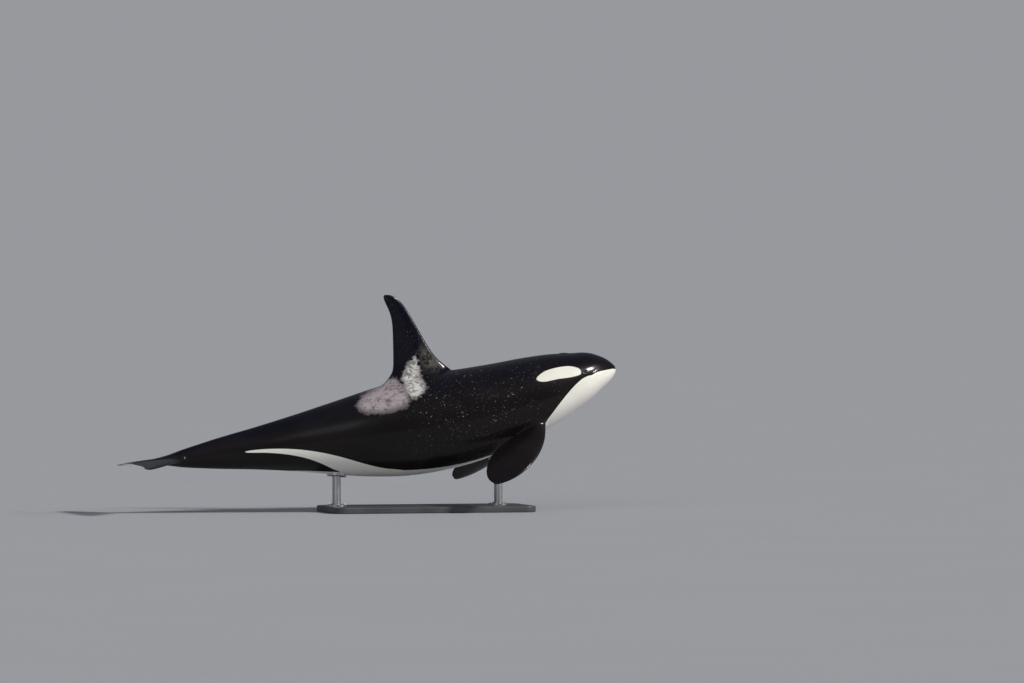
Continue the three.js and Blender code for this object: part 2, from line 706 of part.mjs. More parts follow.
// A rod with a round foot and a pad on top that follows the belly.
function standRod(along) {
  const top = posed([along, 0, bellyAt(along)]);
  const upright = (radius, from, to) => {
    const geometry = new THREE.CylinderGeometry(radius, radius, to - from, rodFacets);
    geometry.rotateX(Math.PI / 2);
    geometry.translate(top.x, 0, (from + to) / 2);
    return solid(geometry);
  };
  const floor = base.height + gap;
  const belly = solid(facesToGeometry(skinFaces(gap)));
  const pad = upright(rod.padRadius, top.z - padReach.down, top.z + padReach.up)
    .intersect(solid(facesToGeometry(skinFaces(rod.padThickness))));
  const foot = upright(rod.flangeRadius, floor, floor + rod.flangeHeight);
  return largest(upright(rod.radius, floor, top.z + rodIntoBelly).add(pad).add(foot).subtract(belly));
}

const skinBlack = new THREE.MeshStandardMaterial({ color: 0x14151a, roughness: 0.3 });
const eyeBrown = new THREE.MeshStandardMaterial({ color: 0x120c0a, roughness: 0.08 });
const standGrey = new THREE.MeshStandardMaterial({ color: 0x3a3d40, roughness: 0.5 });
const steel = new THREE.MeshStandardMaterial({ color: 0xa8abae, roughness: 0.35, metalness: 1 });

const orca = new THREE.Group();
orca.name = "orca";

function addPiece(name, whole, material) {
  const mesh = new THREE.Mesh(geometryOf(whole), material);
  mesh.name = name;
  orca.add(mesh);
}

for (const [name, piece] of Object.entries(fleshPieces()))
  addPiece(name, piece, name.startsWith("eye") ? eyeBrown : skinBlack);
addPiece("stand_base", standBase(), standGrey);
addPiece("stand_rod_front", standRod(rodPlaces.front), steel);
addPiece("stand_rod_rear", standRod(rodPlaces.rear), steel);

export default orca;
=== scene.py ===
import math

import bmesh
import bpy
import numpy as np
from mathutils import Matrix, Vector


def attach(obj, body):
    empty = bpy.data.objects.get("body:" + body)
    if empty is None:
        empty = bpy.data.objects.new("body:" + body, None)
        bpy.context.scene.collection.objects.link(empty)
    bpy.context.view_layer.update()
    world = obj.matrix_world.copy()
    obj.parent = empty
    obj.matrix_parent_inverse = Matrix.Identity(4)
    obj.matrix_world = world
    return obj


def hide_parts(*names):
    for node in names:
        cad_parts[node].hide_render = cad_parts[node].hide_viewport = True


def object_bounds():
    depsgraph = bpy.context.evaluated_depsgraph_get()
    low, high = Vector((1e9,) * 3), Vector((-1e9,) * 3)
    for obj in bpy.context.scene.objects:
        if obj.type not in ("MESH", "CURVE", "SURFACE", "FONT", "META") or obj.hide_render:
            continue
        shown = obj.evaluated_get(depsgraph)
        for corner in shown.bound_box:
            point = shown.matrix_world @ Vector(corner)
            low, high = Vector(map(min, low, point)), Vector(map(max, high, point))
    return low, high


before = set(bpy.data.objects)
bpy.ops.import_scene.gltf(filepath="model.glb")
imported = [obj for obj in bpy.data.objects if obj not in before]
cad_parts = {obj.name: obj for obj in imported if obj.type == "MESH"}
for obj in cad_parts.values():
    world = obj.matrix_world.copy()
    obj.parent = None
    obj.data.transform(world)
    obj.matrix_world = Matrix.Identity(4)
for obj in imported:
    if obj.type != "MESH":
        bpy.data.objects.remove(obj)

# A young male orca at life size on a plain stand. Metres in the scene; the tables
# of the body are in millimetres, as a maker would draw them, and mm turns them over.
mm = 0.001
cadLow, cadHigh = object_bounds()
scene = bpy.context.scene

# The camera, at the photograph's angle

shot = {
    "azimuth": -15.0,        # degrees round the model
    "elevation": 0.82,       # degrees over the horizon
    "aim": (1.243, 0.353, 2.19),
    "distance": 100.0,
    "frameWidth": 13.316,    # metres across the picture at the aim
    "sensor": 36.0,
    "seesTo": 2000,
}


def makeCamera():
    azimuth, elevation = math.radians(shot["azimuth"]), math.radians(shot["elevation"])
    back = Vector((
        math.sin(azimuth) * math.cos(elevation),
        -math.cos(azimuth) * math.cos(elevation),
        math.sin(elevation),
    ))
    data = bpy.data.cameras.new("camera")
    data.sensor_width = shot["sensor"]
    data.lens = shot["sensor"] * shot["distance"] / shot["frameWidth"]
    data.clip_end = shot["seesTo"]
    camera = bpy.data.objects.new("camera", data)
    camera.location = Vector(shot["aim"]) + back * shot["distance"]
    camera.rotation_mode = "QUATERNION"
    camera.rotation_quaternion = (-back).to_track_quat("-Z", "Y")
    scene.collection.objects.link(camera)
    scene.camera = camera


makeCamera()
print("camera placed")

# The body's own measures, straight, before the spine bends it

body = {
    "length": 6500,
    "snoutTip": (2536, 1852),
    "pitchDegrees": [
        (0, 17.5), (600, 17.5), (1200, 16.5), (1800, 14.5), (2400, 12), (3000, 9.5),
        (3800, 7.5), (4800, 7), (5600, 7.5), (6000, 6), (6500, 3),
    ],
    "backLine": [
        (0, 0), (8, 28), (25, 60), (45, 90), (75, 130), (120, 177), (175, 221), (275, 286),
        (375, 326), (475, 351), (595, 384), (775, 430), (975, 468), (1225, 503), (1575, 537),
        (1975, 576), (2325, 606), (2675, 613), (3025, 592), (3400, 540), (3900, 452),
        (4400, 361), (4900, 276), (5400, 202), (5850, 124), (6100, 66), (6300, 36),
        (6430, 22), (6500, 12),
    ],
    "bellyLine": [
        (0, 0), (8, -30), (25, -60), (55, -90), (110, -128), (190, -168), (300, -216),
        (460, -286), (680, -362), (930, -430), (1225, -500), (1625, -577), (2075, -632),
        (2575, -648), (3025, -623), (3500, -552), (3950, -458), (4400, -362), (4900, -272),
        (5400, -196), (5850, -118), (6100, -63), (6300, -35), (6430, -22), (6500, -12),
    ],
    "halfWidth": [
        (0, 0), (8, 54), (25, 92), (55, 136), (100, 178), (185, 240), (280, 291), (395, 339),
        (535, 385), (725, 432), (975, 482), (1275, 526), (1675, 562), (2125, 577),
        (2575, 560), (3025, 516), (3500, 444), (4000, 352), (4500, 260), (5000, 178),
        (5500, 116), (5850, 92), (6100, 96), (6300, 94), (6430, 76), (6500, 30),
    ],
    "widestHeight": [
        (0, 5), (300, 0), (600, -15), (1200, -45), (2200, -60), (3200, -40), (4500, -10),
        (5500, 0), (6500, 0),
    ],
    # 2 makes a section elliptical, more squarer, less keeled
    "fullness": [
        (0, 2.1), (500, 2.25), (1500, 2.15), (3000, 2.05), (4200, 1.85), (5200, 1.65),
        (6500, 1.8),
    ],
    "tailCap": 6,
}

mouth = {
    "line": [(0, 6), (80, 18), (155, 30), (275, 49), (335, 53), (380, 46), (415, 29)],
    "corner": 415,
    "grooveDepth": 11,
    "lipHeight": 10,
    "lipSwell": 2,
    "lipFullAlong": 100,
    "chinSetBack": 12,
    "fade": (50, 30),        # before and behind the corner
}

columns = {
    "top": 24,               # from the middle of the belly, 0, up to the back
    "mouth": 9,
    "eye": (11, 15),
    "flipper": (5, 8),
    "fluke": (7, 17),
    "fin": (22, 24),
    "blowhole": (22, 24),
    "mouthFollowed": (450, 1150),
    "eyeFollowed": (200, 440, 600, 1100),
    "eyeCeiling": 0.8,
    "finPinched": {"share": 0.55, "reach": 200, "columns": 3},
}


def curveThrough(points, byRoot=False):
    # a smooth curve through points of (place, value), for one place or many
    table = np.array(points, float)
    places = np.sqrt(table[:, 0]) if byRoot else table[:, 0]
    values = table[:, 1]
    count = len(places)
    before = np.maximum(np.arange(count) - 1, 0)
    after = np.minimum(np.arange(count) + 1, count - 1)
    slopes = (values[after] - values[before]) / (places[after] - places[before])

    def read(place):
        x = np.asarray(place, float)
        x = np.sqrt(np.maximum(x, 0)) if byRoot else x
        x = np.clip(x, places[0], places[-1])
        i = np.clip(np.searchsorted(places, x, side="right") - 1, 0, count - 2)
        width = places[i + 1] - places[i]
        t = (x - places[i]) / width
        bend = t * t * (3 - 2 * t)
        swing = slopes[i] * (1 - t) - slopes[i + 1] * t
        return values[i] + (values[i + 1] - values[i]) * bend + width * t * (1 - t) * swing

    return read


def smoothStep(x, low, high):
    t = np.clip((np.asarray(x, float) - low) / (high - low), 0, 1)
    return t * t * (3 - 2 * t)


def mix(a, b, t):
    return a + (b - a) * t


pitchAt = curveThrough(body["pitchDegrees"])
backAt = curveThrough(body["backLine"], True)
bellyAt = curveThrough(body["bellyLine"], True)
widthAt = curveThrough(body["halfWidth"], True)
widestAt = curveThrough(body["widestHeight"])
fullnessAt = curveThrough(body["fullness"])
mouthAt = curveThrough(mouth["line"])

# the spine, added up in short steps from the snout tip to a little past the end
spineStep = 10
spineSpare = 200
findRounds = 12              # to find a place's way back to the straight body
spineMarks = np.arange(spineStep / 2, body["length"] + spineSpare, spineStep)
spinePitch = np.radians(pitchAt(spineMarks))
spineX = body["snoutTip"][0] - spineStep * np.concatenate([[0], np.cumsum(np.cos(spinePitch))])
spineZ = body["snoutTip"][1] - spineStep * np.concatenate([[0], np.cumsum(np.sin(spinePitch))])


def spineAt(along):
    along = np.asarray(along, float)
    i = np.clip(np.floor(along / spineStep).astype(int), 0, len(spineX) - 2)
    t = along / spineStep - i
    x, z = mix(spineX[i], spineX[i + 1], t), mix(spineZ[i], spineZ[i + 1], t)
    return x, z, np.radians(pitchAt(along))


def posed(points, anchor=None):
    # takes points of the straight body to their place; a stiff piece turns at its anchor
    points = np.asarray(points, float)
    along, y, z = points[..., 0], points[..., 1], points[..., 2]
    hold = along if anchor is None else np.full_like(along, anchor)
    x0, z0, pitch = spineAt(hold)
    back = along - hold
    return np.stack([
        x0 - back * np.cos(pitch) - z * np.sin(pitch),
        y,
        z0 - back * np.sin(pitch) + z * np.cos(pitch),
    ], axis=-1)


def straightened(points):
    # the way back: from a place in the model to the straight body
    x, z = points[:, 0], points[:, 2]
    along = body["snoutTip"][0] - x
    for _ in range(findRounds):
        x0, z0, pitch = spineAt(along)
        along = along - (x - x0) * np.cos(pitch) - (z - z0) * np.sin(pitch)
    x0, z0, pitch = spineAt(along)
    height = -(x - x0) * np.sin(pitch) + (z - z0) * np.cos(pitch)
    return along, points[:, 1], height


# The cage of the skin: rings of faces, with the fins grown from holes in them

eye = {
    "along": 488, "height": 105, "step": 23, "ball": 36, "sunk": 30, "tilt": 8,
    "pointed": 0.35,         # how far the corners of the lids are drawn to a point
    # half length, half height and stand of each loop over the skin
    "folds": [(42, 29, 0.4), (37, 23.5, 1.1), (32.5, 19.5, 0.5)],
    # and of each loop over the ball
    "lids": [(28.5, 16, 2.6), (25.5, 13, 3.4), (23.5, 11.2, 2.6), (22, 10, 0.8)],
    "lidLeast": 0.8,
}
blowhole = {"along": 600, "halfWidth": 44, "bend": 26, "rim": 7, "depth": 24}

dorsal = {
    "leading": [
        (2205, 656), (2318, 792), (2404, 960), (2492, 1198), (2580, 1430), (2654, 1576),
        (2758, 1682), (2873, 1736),
    ],
    "trailing": [
        (3055, 640), (2957, 745), (2919, 935), (2887, 1120), (2861, 1290), (2855, 1415),
        (2876, 1536), (2933, 1690),
    ],
    "thickness": [124, 104, 88, 74, 62, 50, 38, 26],
    "levels": [
        0, 0.07, 0.15, 0.25, 0.36, 0.48, 0.6, 0.72, 0.82, 0.9, 0.95, 0.978, 0.993, 1,
    ],
    "fillet": 58,
}
flipper = {
    "leading": [
        (-60, -215), (150, -258), (370, -260), (580, -226), (780, -150), (940, -50),
        (1050, 70), (1100, 150),
    ],
    "trailing": [
        (190, 150), (300, 232), (420, 298), (560, 344), (720, 362), (880, 346),
        (1010, 296), (1090, 205),
    ],
    "thickness": [140, 122, 104, 88, 72, 56, 42, 28],
    "levels": [0, 0.12, 0.26, 0.42, 0.58, 0.73, 0.86, 0.94, 0.975, 0.993, 1],
    "fillet": 62,
    "along": 1440, "outward": 395, "height": -372, "sweep": 35, "droop": 38,
}
fluke = {
    "leading": [
        (112, 5886), (180, 5946), (300, 6026), (450, 6120), (600, 6222), (740, 6332),
        (840, 6432), (900, 6520),
    ],
    "trailing": [
        (112, 6552), (180, 6576), (300, 6575), (450, 6556), (600, 6544), (740, 6550),
        (840, 6566), (905, 6560),
    ],
    "thickness": [68, 67, 62, 54, 44, 35, 27, 18],
    "levels": [0, 0.1, 0.24, 0.4, 0.56, 0.7, 0.83, 0.92, 0.97, 0.992, 1],
    "fillet": 22,
    "droop": 50,
}
# past this level a fin's sections draw in to a share of their size, and its end stands out
finEnd = {"from": 0.92, "size": 0.08, "bulge": 0.11}
filletBends = (0.3, 0.62)
foilTerms = (2.969, -1.26, -3.516, 2.843, -0.936)


def steps(first, step, count):
    return [first + step * k for k in range(count)]


jawCount, jawGathered = 11, 1.5
jawRows = [mouth["corner"] * (k / jawCount) ** jawGathered for k in range(1, jawCount + 1)]
eyeRows = steps(eye["along"] - 2 * eye["step"], eye["step"], 5)
blowholeRows = [eyeRows[4], 575, 620, 670]
flipperRows = steps(1200, 84, 7)
finRows = steps(2155, 99, 11)
flukeRows = steps(5840, 82, 9)
rows = [
    *jawRows, *eyeRows, *blowholeRows[1:], 735, 810, 895, 990, 1095,
    *flipperRows, *steps(1775, 95, 4), *finRows, *steps(3240, 180, 14),
    *flukeRows, body["length"],
]


def surface(along, angle):
    power = 2 / fullnessAt(along)
    middle = widestAt(along)
    edge = backAt(along) if angle > 0 else bellyAt(along)
    return np.array([
        along,
        -widthAt(along) * max(math.cos(angle), 0) ** power,
        middle + (edge - middle) * abs(math.sin(angle)) ** power,
    ])


def angleAt(along, height):
    middle = widestAt(along)
    edge = backAt(along) if height > middle else bellyAt(along)
    share = min((height - middle) / (edge - middle), 1)
    return math.copysign(math.asin(share ** (fullnessAt(along) / 2)), height - middle)


def columnAngles(along):
    top, middle = columns["top"], columns["mouth"]
    even = [math.radians(180 * j / top - 90) for j in range(top + 1)]
    inHead = 1 - smoothStep(along, *columns["mouthFollowed"])
    start, full, still, gone = columns["eyeFollowed"]
    nearEye = smoothStep(along, start, full) * (1 - smoothStep(along, still, gone))
    lip = mouth["lipHeight"] / 2 * (1 + min(1, along / mouth["lipFullAlong"]))
    angles = [0.0] * (top + 1)
    for side in (-1, 0, 1):
        inMouth = angleAt(along, mouthAt(along) + side * lip)
        angles[middle + side] = mix(even[middle + side], inMouth, inHead)
    lower, upper = middle - 1, middle + 1
    for j in range(lower):
        angles[j] = mix(-math.pi / 2, angles[lower], j / lower)
    low, high = columns["eye"]
    for j in range(low, high + 1):
        spread = mix(angles[upper], math.pi / 2, (j - upper) / (top - upper))
        height = eye["height"] + (j - (low + high) / 2) * eye["step"]
        capped = min(height, columns["eyeCeiling"] * backAt(along))
        angles[j] = mix(spread, angleAt(along, capped), nearEye)
    for j in range(high + 1, top + 1):
        angles[j] = mix(angles[high], math.pi / 2, (j - high) / (top - high))
    pinched = columns["finPinched"]
    away = min(abs(along - finRows[0]), abs(along - finRows[-1]))
    pinch = pinched["share"] * (1 - smoothStep(away, 0, pinched["reach"]))
    first = columns["fin"][0]
    return [
        mix(angle, math.pi / 2, pinch * smoothStep(j, first - pinched["columns"], first))
        for j, angle in enumerate(angles)
    ]


def mouthRelief(along, j):
    # how far the groove, below nothing, and the lips stand out of the surface
    before, behind = mouth["fade"]
    fade = 1 - smoothStep(along, mouth["corner"] - before, mouth["corner"] + behind)
    if j == columns["mouth"]:
        return -mouth["grooveDepth"] * fade
    return mouth["lipSwell"] * fade if abs(j - columns["mouth"]) == 1 else 0


def bodyRow(along):
    middle = widestAt(along)
    row = []
    for j, angle in enumerate(columnAngles(along)):
        _, y, z = surface(along, angle)
        scale = 1 + mouthRelief(along, j) / math.hypot(y, z - middle)
        row.append([along, y * scale if j % columns["top"] else 0, middle + (z - middle) * scale])
    return row


def frontRow(first):
    # the first row's heights, brought round to the middle of the snout
    row = []
    for j, (along, _, z) in enumerate(first):
        if j % columns["top"] == 0:
            row.append(first[j])
            continue
        edge = first[-1][2] if z > 0 else first[0][2]
        chin = mouth["chinSetBack"] * (1 - abs(z / edge)) if j < columns["mouth"] else 0
        row.append([along * (z / edge) ** 2 + chin - mouthRelief(0, j), 0, z])
    return row


def strips(chains, closed):
    faces = []
    for near, far in zip(chains, chains[1:]):
        count = len(near) if closed else len(near) - 1
        for k in range(count):
            following = (k + 1) % len(near)
            faces.append([near[k], near[following], far[following], far[k]])
    return faces


def blockEdge(grid, front, rear, low, high):
    up = [grid[front][low + k] for k in range(high - low)]
    back = [grid[front + k][high] for k in range(rear - front)]
    down = [grid[rear][high - k] for k in range(high - low)]
    forward = [grid[rear - k][low] for k in range(rear - front)]
    if high == columns["top"]:
        return np.array(down + forward + up + [grid[front][high]])
    return np.array(up + back + down + forward)


def foil(chord):
    root, *powers = foilTerms
    return root * math.sqrt(chord) + sum(term * chord ** (k + 1) for k, term in enumerate(powers))


def sectionShares(rowCount, columnCount):
    nose, tail = 0.035, 0.975
    side = [mix(nose, tail, k / rowCount) for k in range(rowCount + 1)]
    across = [2 * k / columnCount - 1 for k in range(columnCount + 1)]
    leading = [(nose * t * t, foil(nose) * t) for t in across]
    trailing = [(1 - (1 - tail) * t * t, -foil(tail) * t) for t in across]
    upper = [(chord, foil(chord)) for chord in side[1:-1]]
    lower = [(chord, -foil(chord)) for chord in reversed(side[1:-1])]
    return [*leading, *upper, *trailing, *lower]


def halfSectionShares(rowCount, columnCount):
    nose, tail = 0.04, 0.96
    leading = [nose * (k / columnCount) ** 2 for k in range(columnCount)]
    side = [mix(nose, tail, k / rowCount) for k in range(rowCount + 1)]
    trailing = [1 - chord for chord in reversed(leading)]
    chords = list(reversed([*leading, *side, *trailing]))
    return [(chord, 0 if chord in (0, 1) else foil(chord)) for chord in chords]


def alongEdge(edge, level):
    places = [k / (len(edge) - 1) for k in range(len(edge))]
    return np.array([
        float(curveThrough(list(zip(places, [point[axis] for point in edge])))(level))
        for axis in range(len(edge[0]))
    ])


def finLevel(level, fin):
    # both ends of the chord and half the thickness, drawn in along a quarter circle
    def middleAt(place):
        return (alongEdge(fin["leading"], place) + alongEdge(fin["trailing"], place)) / 2

    past = max(0, (level - finEnd["from"]) / (1 - finEnd["from"]))
    closing = 1 - math.sqrt(1 - past ** 2)
    drawn = (1 - finEnd["size"]) * closing
    front, rear = alongEdge(fin["leading"], level), alongEdge(fin["trailing"], level)
    middle = middleAt(level)
    outward = middle - middleAt(finEnd["from"])
    reach = finEnd["bulge"] * closing * np.linalg.norm(rear - front)
    outward *= reach / max(np.linalg.norm(outward), 1e-6)
    front, rear = (mix(end, middle, drawn) + outward for end in (front, rear))
    size = alongEdge([(thickness,) for thickness in fin["thickness"]], level)[0]
    return front, rear, 0 if level == 1 else size * (1 - drawn) / 2


def filleted(edge, loops, reach):
    # bends from a hole's edge into the first section of a fin
    away = loops[0] - loops[1]
    corner = loops[0] + away / np.linalg.norm(away, axis=1, keepdims=True) * reach
    bends = []
    for t in filletBends:
        bends.append(mix(mix(edge, corner, t), mix(corner, loops[0], t), t))
    return [edge, *bends, *loops]


def grownFin(edge, fin, shares, placed, anchor=None):
    # loops out to the tip: placed takes a point's two places on the fin and its half thickness
    loops = []
    for level in fin["levels"]:
        front, rear, half = finLevel(level, fin)
        loop = [placed(*mix(front, rear, chord), half * thick) for chord, thick in shares]
        loops.append(posed(loop, anchor))
    return filleted(edge, loops, fin["fillet"])


def blockSize(blockRows, span):
    return len(blockRows) - 1, span[1] - span[0]


def dorsalFaces(edge):
    shares = halfSectionShares(*blockSize(finRows, columns["fin"]))
    chains = grownFin(edge, dorsal, shares, lambda along, up, thick: (along, -thick, up))
    return strips(chains, False)


def flipperFaces(edge):
    droop, sweep = math.radians(flipper["droop"]), math.radians(flipper["sweep"])
    sideways = np.array([0, -math.cos(droop), -math.sin(droop)])
    upper = np.array([0, -math.sin(droop), math.cos(droop)])
    root = np.array([flipper["along"], -flipper["outward"], flipper["height"]], float)

    def placed(out, back, thick):
        aside = out * math.cos(sweep) - back * math.sin(sweep)
        point = root + sideways * aside + upper * thick
        point[0] += out * math.sin(sweep) + back * math.cos(sweep)
        return point

    shares = sectionShares(*blockSize(flipperRows, columns["flipper"]))
    return strips(grownFin(edge, flipper, shares, placed, flipper["along"]), True)


def flukeDroopAt(out):
    return fluke["droop"] * (out / fluke["trailing"][-1][0]) ** 2


def flukeFaces(edge):
    def placed(out, along, thick):
        return along, -out, thick - flukeDroopAt(out)

    shares = sectionShares(*blockSize(flukeRows, columns["fluke"]))
    return strips(grownFin(edge, fluke, shares, placed), True)


def onSide(along, height):
    return surface(along, angleAt(along, height))


def eyeFrame():
    at = onSide(eye["along"], eye["height"])
    ahead = onSide(eye["along"] - 1, eye["height"]) - at
    up = onSide(eye["along"], eye["height"] + 1) - at
    ahead, up = ahead / np.linalg.norm(ahead), up / np.linalg.norm(up)
    out = np.cross(up, ahead)
    return at, ahead, up, out / np.linalg.norm(out)


def eyelidFaces(edge):
    # loops round the eye: a crease, the swell of the lids, and their edge on the ball
    at, ahead, up, out = eyeFrame()
    tilt = math.radians(eye["tilt"])
    inside = (0, 0, -eye["ball"] / 2)
    sizes = [(*size, "skin") for size in eye["folds"]] + [(*size, "ball") for size in eye["lids"]]
    loops = []
    for length, height, stand, over in [*sizes, (*inside, "within")]:
        loop = []
        for k in range(len(edge)):
            turn = 2 * math.pi * (k - 2) / len(edge)
            u = length * math.cos(turn)
            v = height * math.sin(turn) * abs(math.sin(turn)) ** eye["pointed"]
            forward = u * math.cos(tilt) + v * math.sin(tilt)
            upward = v * math.cos(tilt) - u * math.sin(tilt)
            rise = stand
            if over == "ball":
                rise += math.sqrt(eye["ball"] ** 2 - u ** 2 - v ** 2) - eye["sunk"]
                rise = max(rise, eye["lidLeast"]) if stand > eye["lids"][-1][2] else rise
            if over == "skin":
                point = onSide(eye["along"] - forward, eye["height"] + upward)
            else:
                point = at + ahead * forward + up * upward
            loop.append(point + out * rise)
        loops.append(posed(loop))
    return strips([edge, *loops], True)


def blowholeFaces(edge):
    # a raised rim round a slit bent like a crescent, its ends forward
    rim, depth = blowhole["rim"], blowhole["depth"]
    sizes = [
        (52, 24, -rim / 2, 0.3), (34, 8, -rim, 0.7), (14, 0, -rim, 1),
        (5, -4, depth / 6, 1), (0, -8, depth, 1),
    ]
    loops = []
    for length, wider, deep, bend in sizes:
        loop = []
        for k in range(len(edge)):
            turn = math.pi * k / (len(edge) - 1)
            y = -(blowhole["halfWidth"] + wider) * math.sin(turn)
            hollow = blowhole["bend"] * bend * (1 - (y / blowhole["halfWidth"]) ** 2)
            along = blowhole["along"] + length * math.cos(turn) + hollow
            rise = backAt(along) - widestAt(along)
            fall = rise * (1 - math.sqrt(1 - (y / widthAt(along)) ** 2))
            onMiddle = k in (0, len(edge) - 1)
            loop.append((along, 0 if onMiddle else y, backAt(along) - fall - deep))
        loops.append(posed(loop))
    return strips([edge, *loops], False)


def skinFaces():
    rings = [bodyRow(along) for along in rows]
    end = [[body["length"] + body["tailCap"], 0, 0]] * len(rings[0])
    grid = posed([frontRow(rings[0]), *rings, end])
    grown = [
        (finRows, columns["fin"], dorsalFaces),
        (blowholeRows, columns["blowhole"], blowholeFaces),
        (flipperRows, columns["flipper"], flipperFaces),
        (flukeRows, columns["fluke"], flukeFaces),
        (eyeRows, columns["eye"], eyelidFaces),
    ]
    spans = [(rows.index(part[0][0]) + 1, rows.index(part[0][-1]) + 1, *part[1]) for part in grown]
    faces = []
    for i in range(len(grid) - 1):
        for j in range(columns["top"]):
            if not any(a <= i < b and low <= j < high for a, b, low, high in spans):
                faces.append([grid[i][j], grid[i][j + 1], grid[i + 1][j + 1], grid[i + 1][j]])
    for (_, _, make), span in zip(grown, spans):
        faces.extend(make(blockEdge(grid, *span)))
    left = [[point * (1, -1, 1) for point in reversed(face)] for face in faces]
    return faces + left


def weldedCage(faces):
    # one mesh from loose faces: corners in the same place become one
    places, numbers, polygons = [], {}, []
    for face in faces:
        polygon = []
        for point in face:
            key = tuple(np.round(point, 2) + 0.0)
            if key not in numbers:
                numbers[key] = len(places)
                places.append(point)
            if numbers[key] not in polygon:
                polygon.append(numbers[key])
        if len(polygon) > 2:
            polygons.append(polygon)
    return np.array(places) * mm, polygons


def meshObject(name, points, polygons):
    mesh = bpy.data.meshes.new(name)
    mesh.from_pydata([tuple(p) for p in points], [], polygons)
    mesh.update()
    made = bpy.data.objects.new(name, mesh)
    scene.collection.objects.link(made)
    return made


def evaluatedMesh(source):
    bpy.context.view_layer.update()
    graph = bpy.context.evaluated_depsgraph_get()
    return bpy.data.meshes.new_from_object(source.evaluated_get(graph))


def pointsOf(mesh):
    flat = np.empty(len(mesh.vertices) * 3)
    mesh.vertices.foreach_get("co", flat)
    return flat.reshape(-1, 3)


def offBody(along, y, height):
    # how far a point stands out of the body itself, in metres: fins, not skin
    middle = widestAt(along)
    reach = np.where(height > middle, backAt(along) - middle, middle - bellyAt(along))
    power = fullnessAt(along)
    across = (np.abs(y) / np.maximum(widthAt(along), 1)) ** power
    up = (np.abs(height - middle) / np.maximum(reach, 1)) ** power
    return ((across + up) ** (1 / power) - 1) * reach * mm


skin = {"levels": 2, "fitRounds": 2, "fitLimit": 0.007, "finFit": 0.3, "finStands": (0.02, 0.12)}


def makeSkin():
    # the smoothed skin is drawn out again until it passes through the cage's corners
    wanted, polygons = weldedCage(skinFaces())
    made = meshObject("orca_skin", wanted, polygons)
    smoothing = made.modifiers.new("smoothing", "SUBSURF")
    smoothing.levels = smoothing.render_levels = skin["levels"]
    cage = wanted.copy()
    standing = offBody(*straightened(wanted / mm))
    onFins = smoothStep(standing, *skin["finStands"])[:, None]
    share = mix(1, skin["finFit"], onFins)
    for _ in range(skin["fitRounds"]):
        reached = pointsOf(evaluatedMesh(made))[: len(wanted)]
        cage += (wanted - reached) * share
        shift = cage - wanted
        size = np.linalg.norm(shift, axis=1, keepdims=True)
        cage = wanted + shift * np.minimum(1, skin["fitLimit"] / np.maximum(size, 1e-9))
        made.data.vertices.foreach_set("co", cage.ravel())
        made.data.update()
    smooth = evaluatedMesh(made)
    made.modifiers.clear()
    old, made.data = made.data, smooth
    bpy.data.meshes.remove(old)
    smooth.name = "orca_skin"
    held = np.clip(pointsOf(smooth), cadLow, cadHigh)
    smooth.vertices.foreach_set("co", held.ravel())
    smooth.shade_smooth()
    triangles = sum(len(p.vertices) - 2 for p in smooth.polygons)
    print("skin:", len(polygons), "cage faces,", triangles, "triangles")
    return made


skinPiece = makeSkin()

# The markings, as distances from their edges over the straight body

